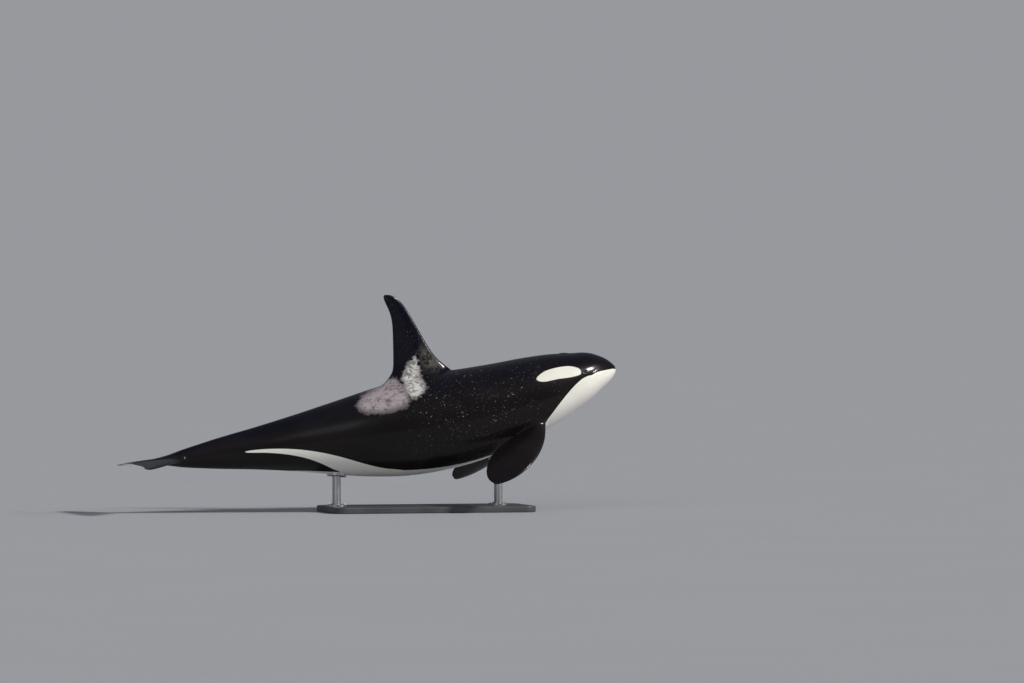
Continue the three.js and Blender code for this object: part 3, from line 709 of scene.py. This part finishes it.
marks = {
    # outlines as (along, height) in metres, seen from the side
    "eyePatch": [
        (0.550, 0.133), (0.572, 0.098), (0.674, 0.100), (0.782, 0.117), (0.887, 0.137),
        (0.975, 0.146), (1.072, 0.158), (1.148, 0.186), (1.174, 0.222), (1.125, 0.255),
        (1.026, 0.280), (0.911, 0.281), (0.780, 0.266), (0.677, 0.241), (0.594, 0.200),
        (0.556, 0.165),
    ],
    # the saddle's cream part runs up on the fin, and its pinkish part lies behind
    "saddleCream": [
        (2.590, 0.740), (2.606, 0.828), (2.628, 0.880), (2.668, 0.838), (2.741, 0.785),
        (2.818, 0.700), (2.868, 0.610), (2.895, 0.500), (2.880, 0.400), (2.800, 0.372),
        (2.700, 0.415), (2.640, 0.500), (2.622, 0.610),
    ],
    "saddlePink": [
        (2.925, 0.610), (3.002, 0.645), (3.140, 0.615), (3.310, 0.555), (3.470, 0.485),
        (3.560, 0.405), (3.530, 0.325), (3.380, 0.275), (3.160, 0.270), (2.950, 0.320),
        (2.905, 0.420), (2.912, 0.520),
    ],
    # a painted sheen: this grey-olive wash on the fin's front foot stands for light on the wet skin
    "finFootSheen": [
        (2.270, 0.680), (2.320, 0.770), (2.400, 0.880), (2.490, 0.975), (2.545, 0.930),
        (2.560, 0.800), (2.530, 0.690), (2.400, 0.655),
    ],
    "patches": ("saddleCream", "saddlePink", "finFootSheen"),
    # the white of jaw and throat lies under this line
    "throat": [
        (0, -0.014), (0.040, -0.004), (0.080, 0.011), (0.155, 0.026), (0.275, 0.045),
        (0.335, 0.048), (0.380, 0.042), (0.415, 0.038), (0.480, 0.044), (0.560, 0.036),
        (0.650, 0.006), (0.750, -0.040), (0.850, -0.096), (0.950, -0.160), (1.050, -0.232),
        (1.150, -0.310), (1.250, -0.388), (1.350, -0.462),
    ],
    # how far round from the belly, -1, to the flank, 0, the white of the belly reaches
    "belly": [
        (1.0, -0.42), (1.2, -0.62), (1.45, -0.73), (1.9, -0.75), (2.4, -0.71), (2.9, -0.66),
        (3.3, -0.64), (3.8, -0.74), (4.1, -0.79), (4.35, -0.84), (4.5, -0.93), (4.6, -1.08),
    ],
    # the lobe that sweeps up the flank behind the fin, as (along, how far round)
    "lobe": [
        (2.95, -0.80), (3.10, -0.64), (3.35, -0.57), (3.62, -0.45), (3.90, -0.31),
        (4.20, -0.18), (4.50, -0.08), (4.80, -0.015), (5.02, 0.0), (5.10, -0.03),
        (5.02, -0.075), (4.80, -0.13), (4.55, -0.22), (4.32, -0.34), (4.14, -0.48),
        (4.02, -0.60), (3.92, -0.70), (3.70, -0.85),
    ],
    "lobeScale": 0.8,        # metres round the flank from the widest line to the belly
    "handOver": (1.15, 1.35),   # where the throat's line gives way to the belly's
    "bellyEnd": 5.4,
    "flipperZone": (1100, 2400, 100),   # from, to and the highest, in millimetres
    "flipperWhite": (0.02, 2),          # how far out on a flipper it ends, and how steeply
    "flukeMargin": 0.045,
    "flukeWhite": (5.8, 0.06, 4),       # from where, how far off the middle, how steeply
    "far": 0.4,              # no distance is counted further than this
    "lipsTaper": (375, 0.12),   # where the painted shade along the mouth's line starts to thin out
    # painted glints: pale specks that stand for sun on the wet skin
    "glintSpeckledAlong": (0.6, 1.3, 2.6, 3.3),
    # between two shares of the way round, the painted glint specks go from one amount to another
    "glintSpeckledRound": [(0.6, 0.98, 1, 0.4), (-0.45, -0.05, 0.25, 1)],
    "glintSpeckledLeast": 0.06,
    "flipperBare": 0.01,     # flippers have no more than that, from this far out
}


def loopThrough(points, pieces=8):
    # a smooth closed line through an outline's points
    points = np.array(points, float)
    count = len(points)
    line = []
    for k in range(count):
        a, b, c, d = (points[(k + n) % count] for n in (-1, 0, 1, 2))
        for t in np.arange(pieces) / pieces:
            line.append(0.5 * (
                2 * b + (c - a) * t + (2 * a - 5 * b + 4 * c - d) * t ** 2
                + (3 * b - a - 3 * c + d) * t ** 3
            ))
    return np.array(line)


def distanceTo(outline, across, up, far=marks["far"]):
    # signed distance of many points from a closed line, less than nothing inside
    line = loopThrough(outline)
    distance = np.full(len(across), far)
    low, high = line.min(axis=0) - far, line.max(axis=0) + far
    near = (across > low[0]) & (across < high[0]) & (up > low[1]) & (up < high[1])
    px, py = across[near], up[near]
    best = np.full(len(px), far ** 2)
    inside = np.zeros(len(px), bool)
    for (ax, ay), (bx, by) in zip(line, np.roll(line, -1, axis=0)):
        dx, dy = bx - ax, by - ay
        t = np.clip(((px - ax) * dx + (py - ay) * dy) / (dx * dx + dy * dy), 0, 1)
        best = np.minimum(best, (px - ax - t * dx) ** 2 + (py - ay - t * dy) ** 2)
        crosses = (ay > py) != (by > py)
        if dy:
            inside ^= crosses & (px < ax + (py - ay) * dx / dy)
    distance[near] = np.where(inside, -1, 1) * np.sqrt(best)
    return distance


def roundShare(along, y, height):
    # -1 under the belly, 0 on the widest line, 1 on the back
    middle = widestAt(along)
    reach = np.where(height > middle, backAt(along) - middle, middle - bellyAt(along))
    across = np.abs(y) / np.maximum(widthAt(along), 1)
    return np.arctan2((height - middle) / np.maximum(reach, 1), across) / (math.pi / 2)


def paintMarks(piece):
    mesh = piece.data
    along, y, height = straightened(pointsOf(mesh) / mm)
    share = roundShare(along, y, height)
    standing = offBody(along, y, height)
    a, z = along * mm, height * mm

    eyePatch = distanceTo(marks["eyePatch"], a, z)
    throat = z - curveThrough(marks["throat"])(a)
    band = (share - curveThrough(marks["belly"])(a)) * marks["lobeScale"]
    belly = mix(throat, band, smoothStep(a, *marks["handOver"]))
    lobe = distanceTo(
        [(place, turn * marks["lobeScale"]) for place, turn in marks["lobe"]],
        a, share * marks["lobeScale"])
    front, rear, highest = marks["flipperZone"]
    flippers = (along > front) & (along < rear) & (height < highest)
    out, steep = marks["flipperWhite"]
    under = np.minimum(belly, lobe)
    under = np.where(flippers, np.maximum(under, (standing - out) * steep), under)
    under = np.where(a > marks["bellyEnd"], marks["far"], under)

    tail = [*fluke["leading"], *reversed(fluke["trailing"])]
    tailEdge = distanceTo([(place * mm, out * mm) for out, place in tail], a, np.abs(y) * mm)
    start, inner, steep = marks["flukeWhite"]
    below = (height + flukeDroopAt(np.abs(y))) * mm * steep
    tailWhite = np.maximum(tailEdge + marks["flukeMargin"], below)
    tailWhite = np.maximum(tailWhite, inner - np.abs(y) * mm)
    tailWhite = np.where(a > start, tailWhite, marks["far"])

    white = np.minimum(np.minimum(eyePatch, under), tailWhite)
    patches = {name: distanceTo(marks[name], a, z) for name in marks["patches"]}
    taper = np.maximum(along - marks["lipsTaper"][0], 0) * marks["lipsTaper"][1]
    lips = (np.abs(height - mouthAt(along)) + taper) * mm
    start, full, still, gone = marks["glintSpeckledAlong"]
    glintSpeckled = smoothStep(a, start, full) * (1 - smoothStep(a, still, gone))
    for low, high, first, last in marks["glintSpeckledRound"]:
        glintSpeckled *= mix(first, last, smoothStep(share, low, high))
    bare = flippers & (standing > marks["flipperBare"])
    glintSpeckled = np.where(bare, 0, glintSpeckled) + marks["glintSpeckledLeast"]
    layers = {
        **patches, "white": white, "share": share, "lips": lips, "glintSpeckled": glintSpeckled,
    }
    for name, values in layers.items():
        layer = mesh.attributes.new(name, "FLOAT", "POINT")
        layer.data.foreach_set("value", values.astype(np.float32))
    layer = mesh.attributes.new("straight", "FLOAT_VECTOR", "POINT")
    vectors = np.stack([a, y * mm, z], axis=1)
    layer.data.foreach_set("vector", vectors.astype(np.float32).ravel())


paintMarks(skinPiece)
print("markings laid on the skin")

# Materials


def connect(tree, made, **values):
    # each input gets a link or a value; _0 is an input by number, From_Min one by name
    for label, value in values.items():
        socket = made.inputs[int(label[1:]) if label[0] == "_" else label.replace("_", " ")]
        if isinstance(value, bpy.types.NodeSocket):
            tree.links.new(value, socket)
        else:
            socket.default_value = value
    return made


def node(tree, kind, settings=None, **inputs):
    made = tree.nodes.new(kind)
    for name, value in (settings or {}).items():
        setattr(made, name, value)
    return connect(tree, made, **inputs)


def grouped(tree, group, **inputs):
    return node(tree, "ShaderNodeGroup", {"node_tree": group}, **inputs).outputs


def newGroup(name, inputs, outputs, kind="ShaderNodeTree"):
    # inputs are given as (label, type, value) and outputs as (label, type)
    group = bpy.data.node_groups.new(name, kind)
    sockets = [(*given, "INPUT") for given in inputs] + [(*put, None, "OUTPUT") for put in outputs]
    for label, sort, value, way in sockets:
        socket = group.interface.new_socket(name=label, in_out=way, socket_type="NodeSocket" + sort)
        if value is not None:
            socket.default_value = value
    return group, group.nodes.new("NodeGroupInput").outputs, group.nodes.new("NodeGroupOutput")


def maths(tree, operation, a, b=0.0, clamp=False):
    settings = {"operation": operation, "use_clamp": clamp}
    return node(tree, "ShaderNodeMath", settings, _0=a, _1=b).outputs[0]


def times(tree, a, b, clamp=False):
    return maths(tree, "MULTIPLY", a, b, clamp)


def plus(tree, a, b):
    return maths(tree, "ADD", a, b)


def stretched(tree, vector, by):
    return node(tree, "ShaderNodeVectorMath", {"operation": "MULTIPLY"}, _0=vector, _1=by).outputs[0]


def noise(tree, vector, scale, detail=3.0, rough=0.55):
    return node(tree, "ShaderNodeTexNoise", Vector=vector, Scale=scale, Detail=detail,
                Roughness=rough).outputs[0]


def ramp(tree, value, low, high, start=0.0, end=1.0):
    settings = {"interpolation_type": "SMOOTHSTEP"}
    return node(tree, "ShaderNodeMapRange", settings, Value=value, From_Min=low, From_Max=high,
                To_Min=start, To_Max=end).outputs["Result"]


def blend(tree, factor, first, second):
    first, second = ((*tint, 1) if isinstance(tint, tuple) else tint for tint in (first, second))
    return node(tree, "ShaderNodeMix", {"data_type": "RGBA"}, _0=factor, _6=first, _7=second).outputs[2]


def makeGrain():
    # broad clouds and fine grain, drawn out along one way
    group, given, put = newGroup(
        "surfaceGrain",
        [("Vector", "Vector", None), ("Stretch", "Vector", (1, 1, 1)),
         ("Clouds", "Float", 2.0), ("Fine", "Float", 60.0)],
        [("Clouds", "Float"), ("Fine", "Float")])
    drawn = stretched(group, given["Vector"], given["Stretch"])
    connect(group, put, Clouds=noise(group, drawn, given["Clouds"], 4.0),
            Fine=noise(group, drawn, given["Fine"], 3.0))
    return group


def makeFlecks():
    # small scattered spots; Amount is how many there are
    group, given, put = newGroup(
        "flecks",
        [("Vector", "Vector", None), ("Scale", "Float", 40.0),
         ("Size", "Float", 0.2), ("Amount", "Float", 0.5)],
        [("Mask", "Float")])
    cells = node(group, "ShaderNodeTexVoronoi", {"feature": "F1"}, Vector=given["Vector"],
                 Scale=given["Scale"], Randomness=1.0)
    drawn = node(group, "ShaderNodeSeparateColor", _0=cells.outputs["Color"]).outputs
    wanted = maths(group, "LESS_THAN", drawn[0], given["Amount"])
    finer = times(group, given["Scale"], 3.0)
    uneven = times(group, noise(group, given["Vector"], finer, 2.0), 0.7)
    away = times(group, cells.outputs["Distance"], plus(group, uneven, 0.65))
    reach = times(group, given["Size"], plus(group, drawn[1], 0.3))
    ratio = maths(group, "DIVIDE", away, reach)
    strength = times(group, wanted, plus(group, drawn[2], 0.15))
    connect(group, put, Mask=times(group, strength, ramp(group, ratio, 1.0, 0.5), True))
    return group


grainGroup = makeGrain()
flecksGroup = makeFlecks()


def newMaterial(name, **constants):
    material = bpy.data.materials.new(name)
    material.use_nodes = True
    tree = material.node_tree
    return material, tree, connect(tree, tree.nodes["Principled BSDF"], **constants)


def ownPlace(tree):
    return node(tree, "ShaderNodeTexCoord").outputs["Object"]


def grained(tree, vector, clouds, fine, stretch=(1, 1, 1)):
    made = grouped(tree, grainGroup, Vector=vector, Stretch=stretch, Clouds=clouds, Fine=fine)
    return made["Clouds"], made["Fine"]


def finishSurface(tree, shader, colour, height, strength, distance, **others):
    # a shader's colour and its relief, with what else it gets
    bump = node(tree, "ShaderNodeBump", Strength=strength, Distance=distance, Height=height)
    connect(tree, shader, Base_Color=colour, Normal=bump.outputs[0], **others)


skinFinish = {
    # painted reflection: the back's black is bluish, as if it mirrored the sky
    "backBlackSkySheen": (0.0040, 0.0036, 0.0095),
    "sideBlack": (0.0075, 0.0060, 0.0062),
    "clouded": (0.017, 0.014, 0.016),
    "white": (0.90, 0.88, 0.79),
    "bellyWhite": (0.82, 0.81, 0.76),
    "whiteShade": (0.66, 0.63, 0.54),
    "cream": (0.72, 0.69, 0.66),
    "creamShade": (0.24, 0.23, 0.22),
    "pink": (0.42, 0.36, 0.375),
    "pinkShade": (0.17, 0.150, 0.158),
    # painted sheen on the fin's foot, mottled with a darker tone
    "footSheen": (0.21, 0.200, 0.175),
    "footSheenShade": (0.018, 0.017, 0.016),
    # painted glints: pale specks that stand for sun on the wet skin
    "glintFleck": (0.215, 0.200, 0.185),
    # painted shade down in the mouth's groove
    "groove": (0.010, 0.008, 0.008),
    "backSkySheenReach": (0.15, 0.85),     # how far round the back's black, with its painted bluish sky sheen, takes over
    "cloudedAt": (0.45, 0.75, 0.0, 0.25),
    # the painted glint layers: stretch, cells in a metre, their spots' reach in a cell, and the share
    # that has one
    "flecks": [
        ((0.5, 1.0, 1.3), 30.0, 0.22, 0.42),
        ((1.2, 0.8, 0.5), 36.0, 0.20, 0.36),
        ((1, 1, 1), 64.0, 0.26, 0.36),
    ],
    "glintFleckedClouds": (0.34, 0.52),
    "mottleParts": (0.55, 0.45),   # of broad blotches and of fine ones
    # how soft each patch's edge is, how far it wanders, and where the patch is shaded
    "footSheenPatch": (0.080, 0.70, (0.40, 0.66)),
    "pinkPatch": (0.045, 0.30, (0.38, 0.56)),
    "creamPatch": (0.030, 0.34, (0.42, 0.56)),
    "whiteEdge": 0.0035,
    "whiteUneven": 0.004,
    "whiteRound": (-0.5, 0.0),     # from the belly's white to that of the flank
    "whiteShaded": (0.40, 0.70, 0.0, 0.35),
    "grooveShadeEdge": (0.0075, 0.0025),
    "grooveShadeStrength": 0.85,
    "roughness": (0.3, 0.7, 0.24, 0.40),
    "scratchStretch": (0.5, 9.0, 1.0),
    "scratchScale": 9.0,
    "scratchWidth": 0.012,
    "scratchHeight": 0.08,
    "ridgeHeight": 0.30,
}


def makeSkinMaterial():
    material, tree, shader = newMaterial(
        "orcaSkin", Coat_Weight=0.5, Coat_Roughness=0.12, Coat_IOR=1.33, IOR=1.36,
        Specular_IOR_Level=0.10)
    finish = skinFinish

    def layer(name, output="Fac"):
        return node(tree, "ShaderNodeAttribute", {"attribute_name": name}).outputs[output]

    along, share = layer("straight", "Vector"), layer("share")
    clouds, fine = grained(tree, ownPlace(tree), 2.6, 75.0, (0.5, 1, 1))
    blotches, speckle = grained(tree, along, 9.0, 30.0, (0.8, 1.2, 1))

    # black, with a painted bluish sheen of the sky on the back, and browner down the sides
    inBackSkySheen = ramp(tree, share, *finish["backSkySheenReach"])
    colour = blend(tree, inBackSkySheen, finish["sideBlack"], finish["backBlackSkySheen"])
    colour = blend(tree, ramp(tree, clouds, *finish["cloudedAt"]), colour, finish["clouded"])
    # painted glints: pale specks of sun on the wet skin, strewn over the black
    gathered = times(tree, layer("glintSpeckled"), ramp(tree, clouds, *finish["glintFleckedClouds"]))
    for stretch, scale, size, amount in finish["flecks"]:
        flecks = grouped(tree, flecksGroup, Vector=stretched(tree, along, stretch), Scale=scale,
                         Size=size, Amount=amount)
        colour = blend(tree, times(tree, flecks["Mask"], gathered), colour, finish["glintFleck"])

    # the painted sheen on the fin's foot, and the saddle, mottled at their edges and within
    broad, small = finish["mottleParts"]
    mixed = plus(tree, times(tree, blotches, broad), times(tree, speckle, small))
    for name, tint in (("finFootSheen", "footSheen"), ("saddlePink", "pink"), ("saddleCream", "cream")):
        edge, wander, shaded = finish[tint + "Patch"]
        loose = times(tree, maths(tree, "SUBTRACT", mixed, 0.5), wander)
        away = plus(tree, layer(name), loose)
        shade = blend(tree, ramp(tree, mixed, *shaded), finish[tint + "Shade"], finish[tint])
        colour = blend(tree, ramp(tree, away, edge, -edge), colour, shade)

    # the whites, with a clean edge
    uneven = times(tree, maths(tree, "SUBTRACT", fine, 0.5), finish["whiteUneven"])
    edge = finish["whiteEdge"]
    onWhite = ramp(tree, plus(tree, layer("white"), uneven), edge, -edge)
    onFlank = ramp(tree, share, *finish["whiteRound"])
    creamy = blend(tree, onFlank, finish["bellyWhite"], finish["white"])
    shaded = ramp(tree, clouds, *finish["whiteShaded"])
    colour = blend(tree, onWhite, colour, blend(tree, shaded, creamy, finish["whiteShade"]))

    # painted shade: the line of the mouth is darkened down in its groove
    inGrooveShade = ramp(tree, layer("lips"), *finish["grooveShadeEdge"])
    colour = blend(tree, times(tree, inGrooveShade, finish["grooveShadeStrength"]), colour, finish["groove"])

    # fine skin ridges and long shallow scratches
    drawn = stretched(tree, along, finish["scratchStretch"])
    scratch = maths(tree, "SUBTRACT", noise(tree, drawn, finish["scratchScale"], 1.0, 0.5), 0.5)
    lines = ramp(tree, maths(tree, "ABSOLUTE", scratch), 0.0, finish["scratchWidth"])
    height = plus(tree, times(tree, lines, finish["scratchHeight"]),
                  times(tree, fine, finish["ridgeHeight"]))
    finishSurface(tree, shader, colour, height, strength=0.18, distance=0.003,
                  Roughness=ramp(tree, clouds, *finish["roughness"]))
    return material


skinMaterial = makeSkinMaterial()
skinPiece.data.materials.append(skinMaterial)
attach(skinPiece, "root")
fleshNodes = (
    "head", "lower_jaw", "torso", "tail_stock", "dorsal_fin",
    "flipper_right", "flipper_left", "fluke_right", "fluke_left",
)
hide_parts(*fleshNodes)

# Eyes: a ball with a clear bulge, a dark iris and a round pupil

eyeFinish = {
    "rings": 28,
    "sides": 44,
    "bulge": 0.0022,
    "bulgeReach": 0.30,
    "clearance": 0.2,            # millimetres inside the solid ball
    "pupil": (0.002, 0.002, 0.003),
    "pupilEdge": (0.13, 0.16),   # radians from the eye's own axis
    "iris": (0.030, 0.016, 0.010),
    "irisShade": (0.012, 0.008, 0.006),
    "irisEdge": (0.42, 0.48),
    "outer": (0.012, 0.009, 0.009),
}


def makeEyeMaterial():
    material, tree, shader = newMaterial(
        "wetEye", Coat_Weight=0.8, Coat_Roughness=0.03, Coat_IOR=1.38, Roughness=0.16,
        Specular_IOR_Level=0.2)
    finish = eyeFinish
    away = node(tree, "ShaderNodeAttribute", {"attribute_name": "axis"}).outputs["Fac"]
    clouds, fine = grained(tree, ownPlace(tree), 120.0, 600.0)
    iris = blend(tree, ramp(tree, clouds, 0.35, 0.65), finish["iris"], finish["irisShade"])
    colour = blend(tree, ramp(tree, away, *finish["pupilEdge"]), finish["pupil"], iris)
    colour = blend(tree, ramp(tree, away, *finish["irisEdge"]), colour, finish["outer"])
    finishSurface(tree, shader, colour, fine, strength=0.05, distance=0.0005)
    return material


def makeEye(onLeft, material):
    at, _, _, out = eyeFrame()
    centre = posed(at - out * eye["sunk"]) * mm
    outward = posed(at) * mm - centre
    outward /= np.linalg.norm(outward)
    first = np.cross(outward, (0, 0, 1))
    first /= np.linalg.norm(first)
    second = np.cross(outward, first)
    rings, sides, bulge = eyeFinish["rings"], eyeFinish["sides"], eyeFinish["bulge"]
    whole = (eye["ball"] - eyeFinish["clearance"]) * mm
    points, axis, polygons = [], [], []
    for i in range(1, rings):
        turn = math.pi * i / rings
        swell = bulge * max(0, 1 - (turn / math.pi / eyeFinish["bulgeReach"]) ** 2)
        radius = whole - bulge + swell
        for k in range(sides):
            spin = 2 * math.pi * k / sides
            across = first * math.cos(spin) + second * math.sin(spin)
            points.append(centre + (outward * math.cos(turn) + across * math.sin(turn)) * radius)
            axis.append(turn)
    front, rear = len(points), len(points) + 1
    points += [centre + outward * whole, centre - outward * (whole - bulge)]
    axis += [0.0, math.pi]
    last = (rings - 2) * sides
    for k in range(sides):
        following = (k + 1) % sides
        polygons.append((front, k, following))
        polygons.append((rear, last + following, last + k))
        for near in range(0, last, sides):
            far = near + sides
            polygons.append((near + k, far + k, far + following, near + following))
    if onLeft:
        points = np.array(points) * (1, -1, 1)
        polygons = [tuple(reversed(p)) for p in polygons]
    made = meshObject("orca_eye_left" if onLeft else "orca_eye_right", points, polygons)
    layer = made.data.attributes.new("axis", "FLOAT", "POINT")
    layer.data.foreach_set("value", np.array(axis, np.float32))
    made.data.shade_smooth()
    made.data.materials.append(material)
    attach(made, "root")
    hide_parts("eye_left" if onLeft else "eye_right")


eyeMaterial = makeEyeMaterial()
for onLeft in (False, True):
    makeEye(onLeft, eyeMaterial)
print("eyes set")

# The stand: painted base, brushed rods, bolts round their feet

stand = {
    "rodAlong": (1800, 3900),
    "boltRing": 0.098,
    "boltCount": 6,
    "boltRadius": 0.015,
    "boltHeight": 0.011,
    "socketRadius": 0.0075,
    "socketDepth": 0.006,
    "footTop": 0.1023,
    "boltSides": 28,
    "socketSides": 6,
    "boltBevel": 0.0012,
    "weldReach": 0.00002,
    "crispAngle": 32,        # edges that turn more than this many degrees stay sharp
    "paint": ((0.050, 0.053, 0.057), (0.066, 0.069, 0.073)),
    "dust": (0.16, 0.16, 0.15),
    # colour, stretch of the grain and range of roughness
    "brushedSteel": ((0.56, 0.565, 0.575), (1.0, 1.0, 0.03), (0.26, 0.42)),
    "boltSteel": ((0.42, 0.425, 0.435), (1.0, 1.0, 1.0), (0.22, 0.34)),
    "steelShade": 0.82,
}


def makePaint():
    material, tree, shader = newMaterial("charcoalPaint")
    place = ownPlace(tree)
    clouds, fine = grained(tree, place, 1.8, 260.0)
    colour = blend(tree, ramp(tree, clouds, 0.35, 0.65), *stand["paint"])
    dust = grouped(tree, flecksGroup, Vector=place, Scale=22.0, Size=0.06, Amount=0.2)
    colour = blend(tree, times(tree, dust["Mask"], 0.25), colour, stand["dust"])
    finishSurface(tree, shader, colour, fine, strength=0.12, distance=0.001,
                  Roughness=ramp(tree, clouds, 0.3, 0.7, 0.42, 0.54))
    return material


def makeSteel(name):
    material, tree, shader = newMaterial(name, Metallic=1.0)
    colour, stretch, roughness = stand[name]
    _, fine = grained(tree, ownPlace(tree), 6.0, 420.0, stretch)
    dark = tuple(c * stand["steelShade"] for c in colour)
    finishSurface(tree, shader, blend(tree, fine, dark, colour), fine, strength=0.10, distance=0.0006,
                  Roughness=ramp(tree, fine, 0.3, 0.7, *roughness))
    return material


def makeBoltTree(material):
    # a ring of round bolt heads with six-sided sockets
    sizes = [(label, "Float", None) for label in ("Ring", "Radius", "Height", "Socket", "Depth")]
    tree, given, put = newGroup(
        "boltRing", [("Count", "Int", None), ("Place", "Vector", None), *sizes],
        [("Geometry", "Geometry")], "GeometryNodeTree")
    ring = node(tree, "GeometryNodeMeshCircle", Vertices=given["Count"], Radius=given["Ring"])
    placed = node(tree, "GeometryNodeTransform", Geometry=ring.outputs[0],
                  Translation=given["Place"])
    head = node(tree, "GeometryNodeMeshCylinder", Vertices=stand["boltSides"],
                Radius=given["Radius"], Depth=given["Height"])
    socket = node(tree, "GeometryNodeMeshCylinder", Vertices=stand["socketSides"],
                  Radius=given["Socket"], Depth=given["Height"])
    lift = node(tree, "ShaderNodeCombineXYZ", Z=given["Depth"])
    raised = node(tree, "GeometryNodeTransform", Geometry=socket.outputs["Mesh"],
                  Translation=lift.outputs[0])
    cut = node(tree, "GeometryNodeMeshBoolean", {"operation": "DIFFERENCE"},
               _0=head.outputs["Mesh"], _1=raised.outputs[0])
    scatter = node(tree, "GeometryNodeInstanceOnPoints", Points=placed.outputs[0],
                   Instance=cut.outputs[0])
    realised = node(tree, "GeometryNodeRealizeInstances", _0=scatter.outputs[0])
    painted = node(tree, "GeometryNodeSetMaterial", Geometry=realised.outputs[0],
                   Material=material)
    connect(tree, put, Geometry=painted.outputs[0])
    return tree


def makeBolts(name, x, tree):
    made = meshObject(name, [], [])
    modifier = made.modifiers.new("bolts", "NODES")
    modifier.node_group = tree
    values = {
        "Count": stand["boltCount"], "Ring": stand["boltRing"], "Radius": stand["boltRadius"],
        "Height": stand["boltHeight"], "Socket": stand["socketRadius"],
        "Depth": stand["boltHeight"] - stand["socketDepth"],
        "Place": (x, 0, stand["footTop"] + stand["boltHeight"] / 2),
    }
    for item in tree.interface.items_tree:
        if item.in_out == "INPUT":
            modifier[item.identifier] = values[item.name]
    result = evaluatedMesh(made)
    made.modifiers.clear()
    made.data = result
    result.name = name
    bevel = made.modifiers.new("softEdges", "BEVEL")
    bevel.width, bevel.segments, bevel.limit_method = stand["boltBevel"], 2, "ANGLE"
    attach(made, "root")


def makeRod(name, material):
    # the turned rod as one smooth piece, with crisp rims
    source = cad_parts[name]
    mesh = bmesh.new()
    mesh.from_mesh(source.data)
    mesh.transform(source.matrix_world)
    bmesh.ops.remove_doubles(mesh, verts=mesh.verts, dist=stand["weldReach"])
    mesh.verts.index_update()
    points = [vertex.co.copy() for vertex in mesh.verts]
    polygons = [[vertex.index for vertex in face.verts] for face in mesh.faces]
    mesh.free()
    made = meshObject("smooth_" + name, points, polygons)
    made.data.shade_smooth()
    made.data.set_sharp_from_angle(angle=math.radians(stand["crispAngle"]))
    made.data.materials.append(material)
    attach(made, "root")
    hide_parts(name)


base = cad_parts["stand_base"].data.materials
base.clear()
base.append(makePaint())
rodSteel = makeSteel("brushedSteel")
boltTree = makeBoltTree(makeSteel("boltSteel"))
for name, along in zip(("front", "rear"), stand["rodAlong"]):
    makeRod("stand_rod_" + name, rodSteel)
    top = posed([along, 0, float(bellyAt(along))]) * mm
    makeBolts("stand_bolts_" + name, float(top[0]), boltTree)
print("stand dressed")

# Floor and light

studio = {
    "viewTransform": "Standard",
    "floorRadius": 900.0,
    "floorSides": 96,
    "floorColour": (0.435, 0.450, 0.475),
    "floorPaler": 1.05,
    # what the camera sees behind the floor is as bright as the lit floor itself
    "backdrop": (0.309, 0.319, 0.340),
    "sideLight": (0.10, 0.106, 0.120),
    "topLight": (0.16, 0.172, 0.200),
    "skyHeights": (0.1, 0.9),
    "lampDistance": 20,
    # the way the light comes from, its spread in degrees, strength and colour
    "lamps": [
        ((0.64, -0.50, 0.58), 8, 2.45, (1.0, 0.97, 0.93)),
        ((0.806, -0.442, 0.377), 6, 0.45, (1.0, 0.97, 0.94)),
        ((-0.50, -0.75, 0.43), 40, 0.50, (0.92, 0.95, 1.0)),
    ],
}


def makeFloor():
    count, radius = studio["floorSides"], studio["floorRadius"]
    points = [(0, 0, 0)]
    for k in range(count):
        turn = 2 * math.pi * k / count
        points.append((math.cos(turn) * radius, math.sin(turn) * radius, 0))
    polygons = [(0, k + 1, (k + 1) % count + 1) for k in range(count)]
    floor = meshObject("studio_floor", points, polygons)
    material, tree, shader = newMaterial("paleFloor", Roughness=0.75)
    clouds, _ = grained(tree, ownPlace(tree), 0.35, 14.0)
    paler = tuple(c * studio["floorPaler"] for c in studio["floorColour"])
    connect(tree, shader, Base_Color=blend(tree, clouds, studio["floorColour"], paler))
    floor.data.materials.append(material)


def makeLights():
    for number, (towards, spread, strength, colour) in enumerate(studio["lamps"]):
        data = bpy.data.lights.new("softLight%d" % number, "SUN")
        data.angle, data.energy, data.color = math.radians(spread), strength, colour
        lamp = bpy.data.objects.new(data.name, data)
        lamp.location = Vector(towards) * studio["lampDistance"]
        lamp.rotation_mode = "QUATERNION"
        lamp.rotation_quaternion = (-Vector(towards)).to_track_quat("-Z", "Y")
        scene.collection.objects.link(lamp)
    world = bpy.data.worlds.new("studio")
    world.use_nodes = True
    tree = world.node_tree
    towards = node(tree, "ShaderNodeTexCoord").outputs["Generated"]
    height = node(tree, "ShaderNodeSeparateXYZ", _0=towards).outputs[2]
    rise = ramp(tree, height, *studio["skyHeights"])
    glow = blend(tree, rise, studio["sideLight"], studio["topLight"])
    seen = node(tree, "ShaderNodeLightPath").outputs["Is Camera Ray"]
    light = blend(tree, seen, glow, studio["backdrop"])
    connect(tree, tree.nodes["Background"], Color=light)
    scene.world = world
    scene.view_settings.view_transform = studio["viewTransform"]


makeFloor()
makeLights()
print("studio lit")
